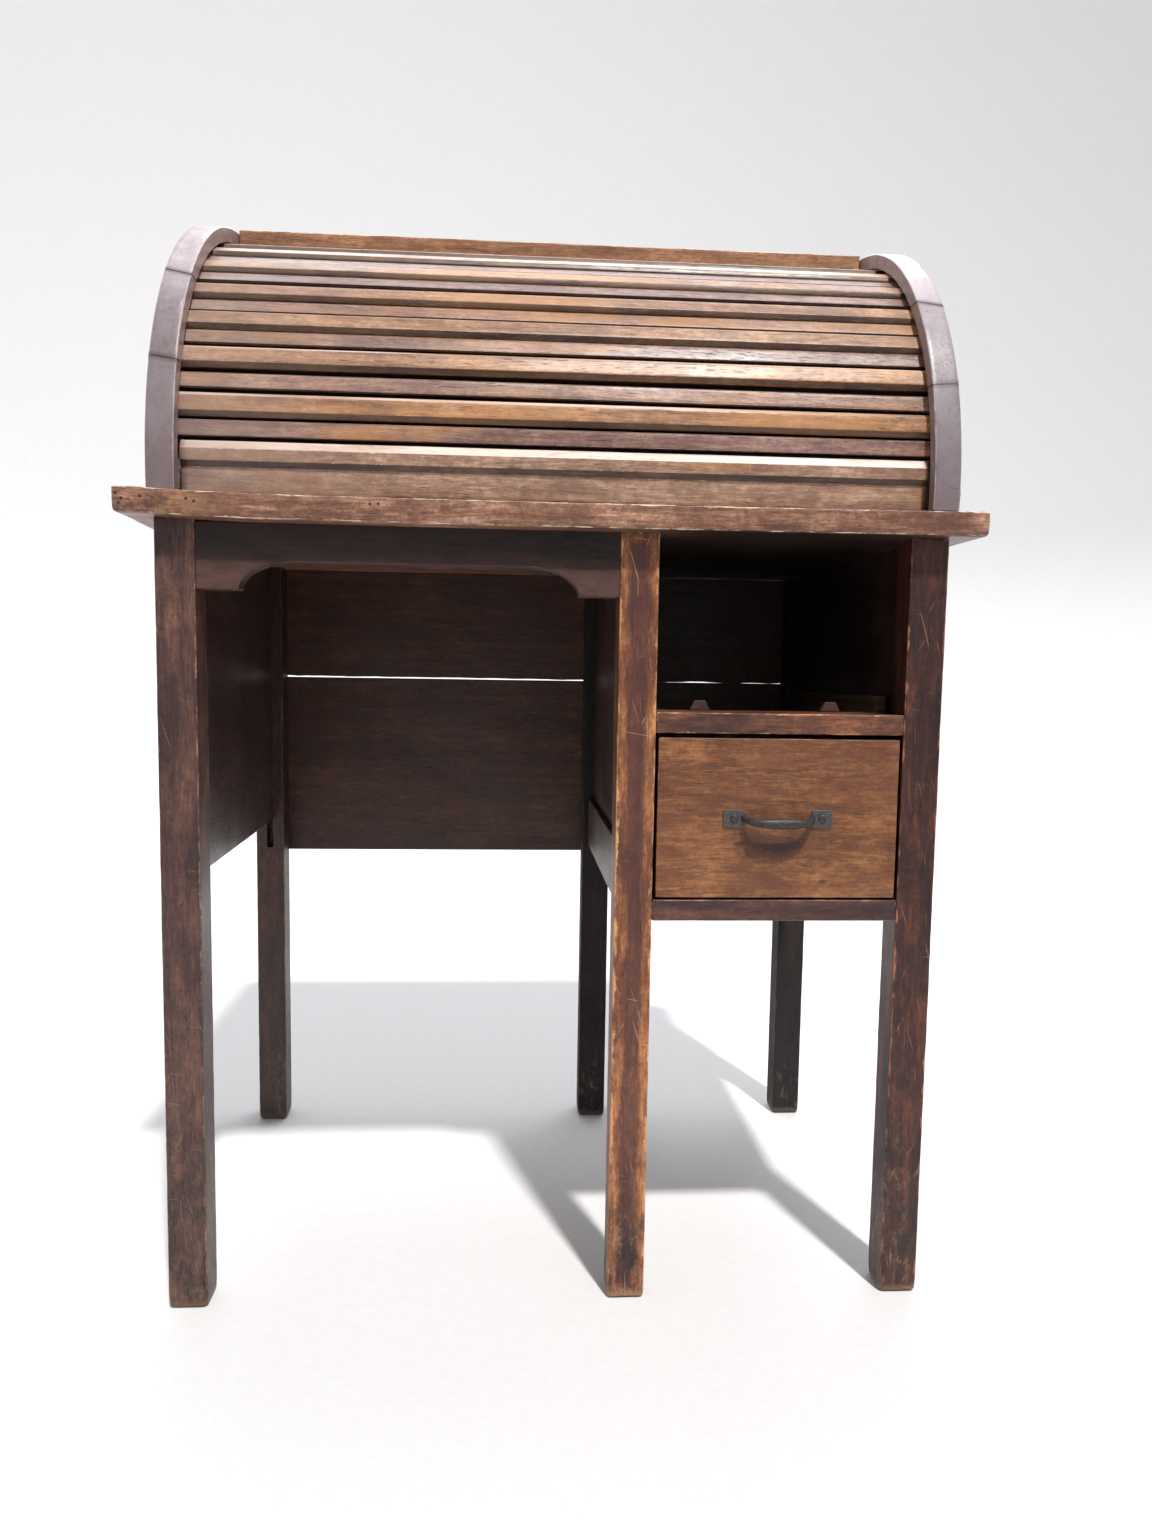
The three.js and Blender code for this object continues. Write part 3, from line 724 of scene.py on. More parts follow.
def dusty(tint, amount):
    def treat(f, color, lot):
        cloudy = f.noise(f.place, 14, detail=5, rough=0.65, lot=lot)
        return f.mix(f.remap(cloudy, 0.35, 0.65, 0, amount), color, shade(*tint))
    return treat


def canvas_look():
    f = Finish("roll_canvas")
    threads = {"Vector": f.place, "Scale": 420.0, "Distortion": 0.6}
    across = f.add("TexWave", threads, out=1, bands_direction="X")
    up = f.add("TexWave", threads, out=1, bands_direction="Z")
    weave = f.times(across, up)
    canvas_tone = f.noise(f.place, 18, detail=5, rough=0.65)
    # The canvas's own colour, made darker as painted shade where it shows in the gaps between the slats.
    color = f.ramp(canvas_tone, (0.3, shade(44, 34, 28)), (0.7, shade(84, 70, 56)))
    color = f.mix(f.remap(weave, 0.1, 0.6, 0.5, 0), color, shade(30, 23, 19))
    return f.done(color, 0.92, f.bump(weave, 0.3 * MM))


def iron_look():
    f = Finish("black_iron")
    pits = f.noise(f.place, 520, detail=5, rough=0.7)
    rust = f.noise(f.place, 90, detail=5, rough=0.7)
    color = f.ramp(pits, (0.3, shade(34, 31, 33)), (0.52, shade(58, 53, 56)), (0.72, shade(108, 100, 100)))
    color = f.mix(f.remap(rust, 0.56, 0.7, 0, 0.55), color, shade(74, 48, 36))
    rubbed_and_highlit = f.remap(f.minus(f.mark("inset"), f.times(pits, 0.6 * MM)), 0.5 * MM, 0, 0, 0.5)
    color = f.mix(rubbed_and_highlit, color, shade(120, 116, 114))
    return f.done(color, f.remap(pits, 0.3, 0.7, 0.38, 0.62), f.bump(pits, 0.18 * MM), Metallic=0.3)


def apron_painted_light(f, color, lot):
    """Painted light: below the desktop's shadow line the apron's lower ends are painted lighter and redder.
    """
    low = f.remap(f.part(f.place, "Z"), 0.7, 0.67)
    patchy = f.noise(f.stretched("X", 0.4), 60, detail=5, rough=0.7, lot=lot)
    return f.mix(f.times(low, f.remap(patchy, 0.35, 0.6, 0.2, 0.6)), color, shade(104, 70, 62))


def mix_finishes():
    look = {"canvas": canvas_look(), "iron": iron_look()}
    faded = {"extra": slat_tone_and_light, "gloss": 0.38, "coat": 0.2, "ragged": 420}
    look["leg_left"] = leg_look(
        "leg_left_oak", (52, 32, 32), (98, 66, 58), (140, 98, 74), worn=((158, 120, 92), 2.0 * MM, 0.7),
        stain=((38, 24, 26), 0.4, 16), foot=0.36, dust=(104, 80, 58), scratches=0.25)
    look["leg_middle"] = leg_look(
        "leg_middle_oak", (88, 46, 30), (188, 118, 70), (230, 160, 102),
        worn=((212, 152, 104), 2.2 * MM, 1.0), stain=((58, 30, 30), 0.6, 18), foot=0.16,
        dust=(150, 118, 90), scratches=0.6, extra=dark_core((70, 37, 36), 9 * MM, 0.8))
    look["leg_right"] = leg_look(
        "leg_right_oak", (34, 17, 15), (86, 42, 29), (132, 72, 44), worn=((164, 108, 72), 1.7 * MM, 0.9),
        stain=((28, 15, 17), 0.5, 18), foot=0.28, dust=(120, 94, 72), scratches=0.4)
    look["leg_back"] = leg_look(
        "leg_back_oak", (34, 19, 16), (78, 46, 36), (104, 68, 50), worn=((138, 106, 84), 1.8 * MM, 0.5),
        stain=((28, 19, 19), 0.45, 16), foot=0.2, dust=(110, 88, 70), scratches=0.1)
    look["leg_shade"] = leg_look(
        "leg_shaded_oak", (16, 11, 10), (33, 23, 21), (50, 37, 33), worn=((104, 88, 76), 1.2 * MM, 0.4),
        stain=((14, 10, 10), 0.4, 16), foot=0.12, dust=(92, 80, 68), scratches=0.0, gloss=0.75, coat=0.0)
    # The apron keeps its own dark finish, darkened further as painted shade under the desktop.
    look["apron"] = oak("apron_oak", "X", (22, 12, 10), (44, 25, 21), (64, 40, 32),
                        worn=((140, 98, 78), 1.0 * MM, 0.45), extra=apron_painted_light, gloss=0.62, coat=0.0)
    look["middle_rail"] = oak("middle_rail_oak", "X", (70, 38, 28), (144, 88, 60), (184, 124, 84),
                              stain=((44, 24, 26), 0.8, 30), worn=((202, 150, 108), 1.2 * MM, 0.9))
    look["bottom_rail"] = oak("bottom_rail_oak", "X", (52, 30, 30), (96, 60, 54), (136, 90, 68),
                              stain=((40, 24, 32), 0.65, 26), worn=((164, 120, 92), 1.2 * MM, 0.7))
    look["side_rail"] = oak("side_rail_oak", "Y", (46, 32, 27), (78, 60, 50), (106, 86, 72),
                            worn=((158, 134, 112), 1.2 * MM, 0.6), extra=dusty((116, 104, 94), 0.3))
    # The side panels' and back boards' colours are darkened as painted shade under the desktop.
    look["side_panel"] = oak("side_panel_oak", "Y", (34, 20, 18), (66, 42, 35), (94, 66, 54),
                             worn=((150, 130, 110), 1.0 * MM, 0.6), gloss=0.38,
                             extra=dusty((104, 86, 84), 0.2))
    look["back_board"] = oak("back_board_oak", "X", (44, 23, 16), (80, 43, 28), (104, 62, 42),
                             worn=((128, 98, 76), 0.9 * MM, 0.5), gloss=0.45, figure=0.7)
    look["desktop"] = oak("desktop_oak", "X", (92, 54, 40), (190, 138, 108), (232, 188, 158),
                          stain=((92, 54, 44), 0.4, 26), worn=(CREAM, 1.3 * MM, 0.8), scratches=0.15,
                          extra=desktop_marks, gloss=0.45)
    look["case"] = oak("case_oak", "Y", (116, 86, 84), (164, 132, 128), (192, 166, 162),
                       worn=((222, 200, 188), 1.0 * MM, 0.5), gloss=0.34, coat=0.35, ragged=260,
                       extra=rim_sheen_and_dirt)
    look["case_top"] = oak("case_top_oak", "X", (120, 78, 52), (200, 146, 102), (232, 184, 138),
                           worn=(CREAM, 1.2 * MM, 0.7), gloss=0.38, coat=0.25)
    look["case_back"] = oak("case_back_oak", "X", (44, 28, 22), (76, 50, 38), (98, 68, 52),
                            worn=((128, 98, 76), 0.9 * MM, 0.5), gloss=0.5, figure=0.7)
    look["slat_proud"] = oak("slat_proud_oak", "X", (118, 76, 48), (204, 150, 100), (236, 192, 146),
                             worn=((240, 218, 196), 0.5 * MM, 0.3), **faded)
    # The flat slats' pinker, paler colours are partly a painted reflection of the light from above.
    look["slat_flat"] = oak("slat_flat_oak", "X", (104, 70, 60), (174, 138, 122), (208, 176, 160),
                            worn=((222, 200, 186), 0.5 * MM, 0.3), **faded)
    # The lift rail's paler, greyer colours are partly painted sheen.
    look["lift_rail"] = oak("lift_rail_oak", "X", (120, 90, 76), (192, 160, 142), (220, 194, 176),
                            worn=((236, 216, 200), 0.6 * MM, 0.4), **faded)
    look["drawer_front"] = oak("drawer_front_oak", "X", (88, 48, 28), (162, 104, 60), (194, 138, 88),
                               worn=((196, 146, 100), 0.8 * MM, 0.5), extra=drawer_marks, gloss=0.4,
                               figure=0.8, coat=0.2, stain=((104, 62, 46), 0.5, 11))
    for key, name, along in (("inside_y", "inside_oak_sides", "Y"), ("inside_x", "inside_oak_boards", "X")):
        look[key] = oak(name, along, (84, 60, 40), (124, 94, 66), (154, 124, 90),
                        extra=dusty((104, 88, 72), 0.35), gloss=0.7, coat=0.0)
    return look


# ---------------------------------------------------------------- frame of the desk

MORTISE_WIDTH, MORTISE_LOW, MORTISE_HIGH, MORTISE_DEPTH = 8.5 * MM, 362 * MM, 426 * MM, 22 * MM


def make_legs(look):
    finishes = {
        "leg_front_left": "leg_left", "leg_front_middle": "leg_middle", "leg_front_right": "leg_right",
        "leg_back_left": "leg_back", "leg_back_middle": "leg_shade", "leg_back_right": "leg_shade",
    }
    for node, finish in finishes.items():
        low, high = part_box(node)
        if node == "leg_front_left":
            high.z += DESKTOP_CURL
        leg = board(node + "_worn", low, high, radius=1.6 * MM, step=6 * MM, foot=3 * MM, chips=1.2)
        if node.endswith("left"):
            carve(leg, mortise_cutter(node, low, high))
        stand_for(leg, look[finish], FRAME, "leg_wood", node)


def mortise_cutter(node, low, high):
    """The empty mortise that the lost side rail's tenon sat in."""
    middle = (low.x + high.x) / 2
    half = MORTISE_WIDTH / 2
    if "front" in node:
        span = (high.y - MORTISE_DEPTH, high.y + MM)
    else:
        span = (low.y - MM, low.y + MORTISE_DEPTH)
    return block("mortise", (middle - half, span[0], MORTISE_LOW), (middle + half, span[1], MORTISE_HIGH))


PANEL_THICK, PANEL_EDGE = 8 * MM, 0.9 * MM
SPLINTER_REACH = 12 * MM


def make_panels_and_rails(look):
    low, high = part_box("left_side_panel")
    run = high.y - low.y
    drift = high.x - low.x - PANEL_THICK

    def lean(p):
        return Vector((p.x - drift * (p.y - low.y) / run, p.y, p.z))

    corner = (high.x - PANEL_THICK, low.y, low.z)
    leaning = board("left_side_panel_worn", corner, high, shape=lean, radius=PANEL_EDGE)
    stand_for(leaning, look["side_panel"], FRAME, "panel_wood")
    for node in ("partition_panel", "right_side_panel"):
        board_for(node, look["side_panel"], FRAME, "panel_wood", radius=PANEL_EDGE)
    for node in ("partition_rail", "right_side_rail"):
        board_for(node, look["side_rail"], FRAME, "dark_wood")
    board_for("back_board_lower", look["back_board"], FRAME, "panel_wood", radius=PANEL_EDGE, step=9 * MM)
    low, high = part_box("back_board_upper")

    def split_edge(p):
        """The upper board's lower edge is splintered, and behind the drawer bay it nearly meets the lower
        board."""
        near = max(0, 1 - (p.z - low.z) / SPLINTER_REACH)
        coarse, fine = Vector((p.x * 22, 0, 3)), Vector((p.x * 90, 0, 7))
        ragged = 0.5 + 0.9 * noise.noise(coarse) + 0.5 * noise.noise(fine)
        closed = limited((p.x - 0.05) / 0.05)
        drop = limited(ragged) * (1.2 + 0.9 * closed) * MM + (0.7 + 0.6 * closed) * MM
        return Vector((p.x, p.y, p.z - drop * near))

    board_for("back_board_upper", look["back_board"], FRAME, "panel_wood", radius=PANEL_EDGE, step=9 * MM,
              shape=split_edge)
    board_for("middle_rail", look["middle_rail"], FRAME, "leg_wood", step=6 * MM)
    board_for("bottom_rail", look["bottom_rail"], FRAME, "dark_wood", step=6 * MM)


def dense(points, step):
    """The same closed outline with more points along its straight runs."""
    result = []
    for here, after in zip(points, points[1:] + points[:1]):
        here, after = Vector(here), Vector(after)
        count = max(1, round((after - here).length / step))
        result += [here.lerp(after, i / count) for i in range(count)]
    return result


APRON_FLAT, APRON_CURVE, APRON_RISE = 37 * MM, 48 * MM, 25 * MM


def make_apron(look):
    low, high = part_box("apron")
    left, right = low.x + APRON_FLAT, high.x - APRON_FLAT
    quarter = [math.radians(6 * i) for i in range(1, 15)]
    curve = [(APRON_CURVE * (1 - math.cos(a)), low.z + APRON_RISE * math.sin(a)) for a in quarter]
    curve.append((APRON_CURVE, low.z + APRON_RISE))
    rise = [(left + x, z) for x, z in curve]
    fall = [(right - x, z) for x, z in reversed(curve)]
    outline = [(low.x, low.z), (left, low.z), *rise, *fall, (right, low.z), (high.x, low.z),
               (high.x, high.z), (low.x, high.z)]
    apron = slab("apron_worn", dense(outline, 4 * MM), (low.y, high.y), from_front, radius=1.1 * MM)
    stand_for(apron, look["apron"], FRAME, "dark_wood")


STOP_TAPER = 0.45
GUIDE_WIDTH, GUIDE_HEIGHT = 9.5 * MM, 15.5 * MM


def make_drawer_bay(look):
    for side in ("left", "right"):
        node = f"drawer_stop_{side}"
        low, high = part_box(node)
        middle = (low.x + high.x) / 2

        def taper(p):
            narrow = 1 - STOP_TAPER * (p.z - low.z) / (high.z - low.z)
            return Vector((middle + (p.x - middle) * narrow, p.y, p.z))

        board_for(node, look["apron"], FRAME, "dark_wood", radius=1.0 * MM, step=3 * MM, shape=taper)
        for level in ("upper", "lower"):
            make_runner(f"runner_{level}_{side}", side, look)


def make_runner(node, side, look):
    low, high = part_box(node)
    bed = high.z - GUIDE_HEIGHT
    if side == "left":
        wall, guide, edge = low.x, low.x + GUIDE_WIDTH, high.x
    else:
        wall, guide, edge = high.x, high.x - GUIDE_WIDTH, low.x
    outline = [(wall, low.z), (edge, low.z), (edge, bed), (guide, bed), (guide, high.z), (wall, high.z)]
    if side == "right":
        outline.reverse()
    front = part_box("bottom_rail")[1].y
    runner = slab(node + "_worn", dense(outline, 5 * MM), (front, high.y), from_front, radius=0.9 * MM,
                  rings=(2.5 * MM,), layers=24)
    stand_for(runner, look["inside_y"], FRAME, "inner_wood")


# ---------------------------------------------------------------- desktop and roll case

# The desktop has sagged a little along its front edge, and its left end has curled up off the leg.
DESKTOP_SAG, DESKTOP_CURL, CURL_START = 1.3 * MM, 3.0 * MM, -0.255


def make_desktop(look):
    low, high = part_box("desktop")

    def sag(p):
        across = 1 - (p.x / high.x) ** 2
        forward = limited((-0.12 - p.y) / 0.1)
        curl = limited((CURL_START - p.x) / 0.11) ** 1.5
        return Vector((p.x, p.y, p.z + (DESKTOP_CURL * curl - DESKTOP_SAG * across) * forward))

    board_for("desktop", look["desktop"], FRAME, "desktop_wood", radius=1.6 * MM, step=6 * MM, foot=2.2 * MM,
              shape=sag, chips=1.3)


def make_case_sides(look):
    for side in ("left", "right"):
        for level in ("lower", "middle", "upper"):
            make_case_board(f"case_{side}_{level}", look)


# The boards of the case ends meet in joints that slant across the edge: (side, height, slope, reach).
# CASE_MIDDLE is how far the middle of each end's thickness lies from the middle of the desk.
JOINT_SLANTS = ((-1, 852 * MM, 0.16, 30 * MM), (-1, 938 * MM, 0.4, 34 * MM),
                (1, 852 * MM, -0.07, 30 * MM), (1, 938 * MM, 0.28, 34 * MM))
CASE_MIDDLE = 0.332


def joint_slant(p):
    """How far a point of a case end is turned down round the roll's centre, in radians."""
    drop = 0
    forward = max(0, (ROLL_Y - p.y) / RIM)
    for side, height, slope, reach in JOINT_SLANTS:
        if p.x * side > 0:
            near = max(0, 1 - abs(p.z - height) / reach)
            drop += slope * (p.x - side * CASE_MIDDLE) * near * near * (3 - 2 * near)
    return drop * forward / RIM


def make_case_board(node, look):
    low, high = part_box(node)
    angles = [math.degrees(math.asin(min(1, (z - ROLL_Z) / RISE))) for z in (high.z, low.z)]
    edge = [(y, ROLL_Z + (z - ROLL_Z) * RISE / RIM) for y, z in arc(RIM, *angles)]
    outline = dense([*edge, (high.y, low.z), (high.y, high.z)], 7 * MM)
    floor_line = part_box("desktop")[1].z + MM

    def tight(y, z):
        at_joint = abs(z - low.z) < 0.1 * MM and z > floor_line
        at_joint = at_joint or (abs(z - high.z) < 0.1 * MM and "upper" not in node)
        return 0.3 if at_joint else 1

    made = slab(node + "_worn", outline, (low.x, high.x), from_side, radius=1.5 * MM, tight=tight, layers=4)
    inset = made.data.attributes["inset"].data
    joint = made.data.attributes.new("joint", "FLOAT", "POINT").data
    for i, vertex in enumerate(made.data.vertices):
        if tight(0, low.z if vertex.co.z < (low.z + high.z) / 2 else high.z) < 1:
            away = min(vertex.co.z - low.z, high.z - vertex.co.z)
            joint[i].value = float(away < 0.8 * MM)
            inset[i].value = max(inset[i].value, min(8 * MM, 16 * MM - 4 * away))
        angle = joint_slant(vertex.co)
        y, z = vertex.co.y - ROLL_Y, vertex.co.z - ROLL_Z
        vertex.co.y, vertex.co.z = ROLL_Y + y - angle * z, ROLL_Z + z + angle * y
    inner = low.x if low.x > 0 else high.x
    outward = 1 if inner > 0 else -1
    span = sorted((inner - outward * MM, inner + outward * GROOVE_DEPTH))
    carve(made, ring_cutter("groove", GROOVE_IN, GROOVE_OUT, *GROOVE_SPAN, span))
    stand_for(made, look["case"], FRAME, "case_wood", node)


def make_case_boards(look):
    low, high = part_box("case_top_board")
    top = board("case_top_board_worn", low, high, radius=1.6 * MM, step=7 * MM)
    span = (low.x - MM, high.x + MM)
    carve(top, ring_cutter("passage", GROOVE_IN, GROOVE_OUT, *PASSAGE_SPAN, span))
    stand_for(top, look["case_top"], FRAME, "case_wood")
    board_for("case_back", look["case_back"], FRAME, "panel_wood", step=12 * MM)
    board_for("case_false_back", look["case_back"], FRAME, "panel_wood", step=12 * MM, radius=0.9 * MM)


# ---------------------------------------------------------------- tambour

SLAT_BACK = 255 * MM
PROUD = {"width": 21.5 * MM, "bevel": 4 * MM, "drop": 3.2 * MM, "face": 266 * MM}
FLAT = {"width": 14.5 * MM, "bevel": 0.8 * MM, "drop": 0.8 * MM, "face": 263 * MM}
SLAT_COUNT = 16


def slat_corners(width, bevel, drop, face):
    """A slat's section as (along the arc, away from the centre), from its lower back corner round."""
    half = width / 2
    front = [(-half, face - drop), (-half + bevel, face), (half - bevel, face), (half, face - drop)]
    return [(-half, SLAT_BACK), *front, (half, SLAT_BACK)], front


def eased(corners, radius):
    """The section with each corner eased off."""
    result = []
    for i, corner in enumerate(corners):
        here = Vector(corner)
        back = (Vector(corners[i - 1]) - here).normalized()
        on = (Vector(corners[(i + 1) % len(corners)]) - here).normalized()
        result += [here + back * radius, here + (back + on) * radius * 0.28, here + on * radius]
    return result


SLAT_EASE, SLAT_STEP = 0.6 * MM, 6 * MM


def moulding(name, corners, arrises, length, shade_span, rubbed_and_highlit):
    """A long strip of one section, lying along X at the front of the roll. The two stretches of the section
    given after the length are where it gets painted shade and where it gets a painted highlight."""
    section = []
    loop = eased(corners, SLAT_EASE)
    for here, after in zip(loop, loop[1:] + loop[:1]):
        count = max(1, round((after - here).length / (2.2 * MM)))
        section += [here.lerp(after, i / count) for i in range(count)]
    lowest_face = min(a[1] for a in arrises) - 0.4 * MM
    count = round(length / SLAT_STEP)
    points = []
    inset, deep, grime, rub = [], [], [], []
    for k in range(count + 1):
        x = -length / 2 + length * k / count
        for along, out in section:
            points.append((x, -out, along))
            inset.append(min(math.hypot(along - a, out - b) for a, b in arrises))
            # The hidden sides below the face are marked for near-black painted shade.
            deep.append(limited((lowest_face - out) / (1.2 * MM)))
            # The lower stretch is marked for painted shade.
            grime.append(float(shade_span[0] <= along <= shade_span[1] and out > lowest_face))
            # The upper stretch is marked for a painted highlight.
            rub.append(float(rubbed_and_highlit[0] <= along <= rubbed_and_highlit[1] and out > lowest_face))
    faces = tube_faces(count + 1, len(section), capped=True)
    strip = as_piece(name, points, faces, {"inset": inset, "deep": deep, "grime": grime, "rub": rub})
    face_outwards(strip)
    return strip


class Growth(Wiring):
    """A geometry tree in the making, which lays real copies of a model at a row of points."""

    def __init__(self, name, **inputs):
        super().__init__(bpy.data.node_groups.new(name, "GeometryNodeTree"))
        for way in ("INPUT", "OUTPUT"):
            self.tree.interface.new_socket("Geometry", in_out=way, socket_type="NodeSocketGeometry")
        for key, kind in inputs.items():
            self.tree.interface.new_socket(key, in_out="INPUT", socket_type="NodeSocket" + kind)
        self.given = self.tree.nodes.new("NodeGroupInput").outputs

    def mark(self, name):
        kind = "GeometryNodeInputNamedAttribute"
        return self.node(kind, {"Name": name}, out="Attribute", data_type="FLOAT")

    def turned(self, axis, angle):
        return self.node("FunctionNodeAxisAngleToRotation", {"Axis": axis, "Angle": angle})

    def copies(self, model, turn):
        shape = self.node("GeometryNodeObjectInfo", {"Object": self.given[model]}, out="Geometry")
        laying = {"Points": self.given["Geometry"], "Instance": shape, "Rotation": turn}
        laid = self.node("GeometryNodeInstanceOnPoints", laying)
        return self.node("GeometryNodeRealizeInstances", {0: laid})

    def done(self, geometry):
        finishing = {"Geometry": geometry, "Material": self.given["Finish"]}
        out = self.tree.nodes.new("NodeGroupOutput")
        self.put(out.inputs["Geometry"], self.node("GeometryNodeSetMaterial", finishing))
        return self.tree


def grow(tree, points, **values):
    """Runs a tree on a row of points, and gives back the plain mesh that it makes."""
    modifier = points.modifiers.new("grow", "NODES")
    modifier.node_group = tree
    for item in tree.interface.items_tree:
        if item.in_out == "INPUT" and item.name in values:
            modifier[item.identifier] = values[item.name]
    bpy.context.view_layer.update()
    settle(points)
    points.data.shade_smooth()
    return points


def slat_laying_tree():
    """Lays a slat at each point, turned to its place on the roll and leaning a little, then wears it."""
    g = Growth("lay_slats", Slat="Object", Wear="Float", Seed="Int", Finish="Material")
    turn, lean = g.turned((-1, 0, 0), g.mark("turn")), g.turned((0, 1, 0), g.mark("lean"))
    turns = {"Rotation": turn, "Rotate By": lean}
    slats = g.copies("Slat", g.node("FunctionNodeRotateRotation", turns, rotation_space="LOCAL"))
    place, normal = g.node("GeometryNodeInputPosition", {}), g.node("GeometryNodeInputNormal", {})
    own = g.plus(g.times(g.mark("lot"), 50.0), g.given["Seed"])
    depths = []
    for scale, share in ((9.0, 0.9), (70.0, 0.5)):
        wear = {"Vector": place, "W": own, "Scale": scale}
        depths.append(g.times(g.node("ShaderNodeTexNoise", wear, noise_dimensions="4D"), share))
    inwards = g.times(g.times(g.plus(*depths), g.given["Wear"]), -1.0)
    move = g.node("ShaderNodeVectorMath", {0: normal, "Scale": inwards}, operation="SCALE")
    return g.done(g.node("GeometryNodeSetPosition", {"Geometry": slats, "Offset": move}))


def middle_angle(node):
    """Where a slat lies on the roll, from the middle of its own corners."""
    corners = [v.co for v in nodes[node].data.vertices]
    y = sum(c.y for c in corners) / len(corners)
    z = sum(c.z for c in corners) / len(corners)
    return math.atan2(z - ROLL_Z, ROLL_Y - y)


def make_slats(look):
    tree = slat_laying_tree()
    rng = random.Random(11)
    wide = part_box("slat_01")
    length = wide[1].x - wide[0].x
    leans = [rng.uniform(-0.0022, 0.0022) for _ in range(SLAT_COUNT)]
    lots = [rng.random() for _ in range(SLAT_COUNT)]
    kinds = (("flat_slats", FLAT, 0, "slat_flat"), ("proud_slats", PROUD, 1, "slat_proud"))
    for name, section, first, finish in kinds:
        corners, arrises = slat_corners(**section)
        # The lower bevel gets painted shade and the upper bevel a painted highlight.
        shade_span, rubbed_and_highlit = (arrises[0][0], arrises[1][0]), (arrises[2][0], arrises[3][0])
        blank = moulding("slat_blank", corners, arrises, length, shade_span, rubbed_and_highlit)
        chosen = range(first, SLAT_COUNT, 2)
        names = [f"slat_{i + 1:02d}" for i in chosen]
        marks = {
            "turn": [middle_angle(n) for n in names],
            "lean": [leans[i] for i in chosen],
            "lot": [lots[i] for i in chosen],
        }
        row = as_piece(name, [(0, ROLL_Y, ROLL_Z)] * len(names), [], marks)
        grow(tree, row, Slat=blank, Wear=0.45 * MM, Seed=3, Finish=look[finish])
        bpy.data.objects.remove(blank)
        stand_for(row, look[finish], TAMBOUR, finish + "_wood", *names)


LIFT_FLAT, LIFT_PROUD = 262 * MM, 266 * MM
LIFT_HEIGHTS = (740.75 * MM, 762.75 * MM, 768.25 * MM, 778 * MM, 785.5 * MM)


def make_lift_rail(look):
    bottom, step, nose, shoulder, top = (z - ROLL_Z for z in LIFT_HEIGHTS)
    front = [(bottom, LIFT_FLAT), (step, LIFT_FLAT), (nose, LIFT_PROUD), (shoulder, LIFT_PROUD)]
    front.append((top, LIFT_FLAT))
    corners = [(bottom, SLAT_BACK), *front, (top, SLAT_BACK)]
    low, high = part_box("lift_rail")
    # The step under the nose gets painted shade, and the top above the shoulder a painted highlight.
    rail = moulding("lift_rail_worn", corners, front, high.x - low.x,
                    shade_span=(step, nose), rubbed_and_highlit=(shoulder, top))
    for vertex in rail.data.vertices:
        vertex.co += Vector((0, ROLL_Y, ROLL_Z))
    mark_lot(rail)
    weather(rail, chips=0.6)
    stand_for(rail, look["lift_rail"], TAMBOUR, "slat_proud_wood")


CANVAS_IN, CANVAS_OUT = 253.4 * MM, 254.6 * MM


def make_canvas(look):
    low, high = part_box("tambour_canvas")
    span = (low.x, high.x)
    sheet = ring_cutter("tambour_canvas_woven", CANVAS_IN, CANVAS_OUT, *CANVAS_SPAN, span)
    stand_for(sheet, look["canvas"], TAMBOUR, "canvas", "tambour_canvas")


# ---------------------------------------------------------------- drawer

def make_drawer(look):
    board_for("drawer_front", look["drawer_front"], DRAWER, "drawer_front_wood", radius=0.7 * MM, step=5 * MM)
    for node in ("drawer_side_left", "drawer_side_right"):
        board_for(node, look["inside_y"], DRAWER, "inner_wood", radius=1.2 * MM)
    board_for("drawer_back", look["inside_x"], DRAWER, "inner_wood", radius=1.0 * MM)
    board_for("drawer_bottom", look["inside_x"], DRAWER, "inner_wood", radius=0.6 * MM, step=10 * MM)


PLATE_WIDTH, PLATE_HEIGHT, PLATE_THICK = 20 * MM, 16 * MM, 2 * MM
BOW_END, BOW_REACH, BOW_DROP = 32.5 * MM, 14.8 * MM, 3 * MM
BOW_THIN, BOW_THICK = 3.0 * MM, 5.0 * MM


def make_pull(look):
    """A bow pull: a bar, thickest in the middle, that bends out from two plates."""
    low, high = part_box("drawer_handle")
    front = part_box("drawer_front")[0].y
    middle, height = (low.x + high.x) / 2, (low.z + high.z) / 2
    plates = [plate(f"pull_plate_{i}", x, front, height)
              for i, x in enumerate((low.x + PLATE_WIDTH / 2, high.x - PLATE_WIDTH / 2))]
    bow = bow_bar(middle, front - PLATE_THICK / 2, height)
    joined = join_pieces("drawer_handle_forged", bow, *plates)
    stand_for(joined, look["iron"], DRAWER, "iron", "drawer_handle")


def plate(name, x, front, height):
    w, h, r = PLATE_WIDTH / 2, PLATE_HEIGHT / 2, 2.5 * MM
    outline = []
    for cx, cz, start in ((w - r, r - h, -90), (w - r, h - r, 0), (r - w, h - r, 90), (r - w, r - h, 180)):
        for i in range(5):
            a = math.radians(start + 22.5 * i)
            outline.append((x + cx + r * math.cos(a), height + cz + r * math.sin(a)))
    return slab(name, dense(outline, 2 * MM), (front - PLATE_THICK, front), from_front, radius=0.55 * MM,
                rings=(), chips=0.35, layers=1)


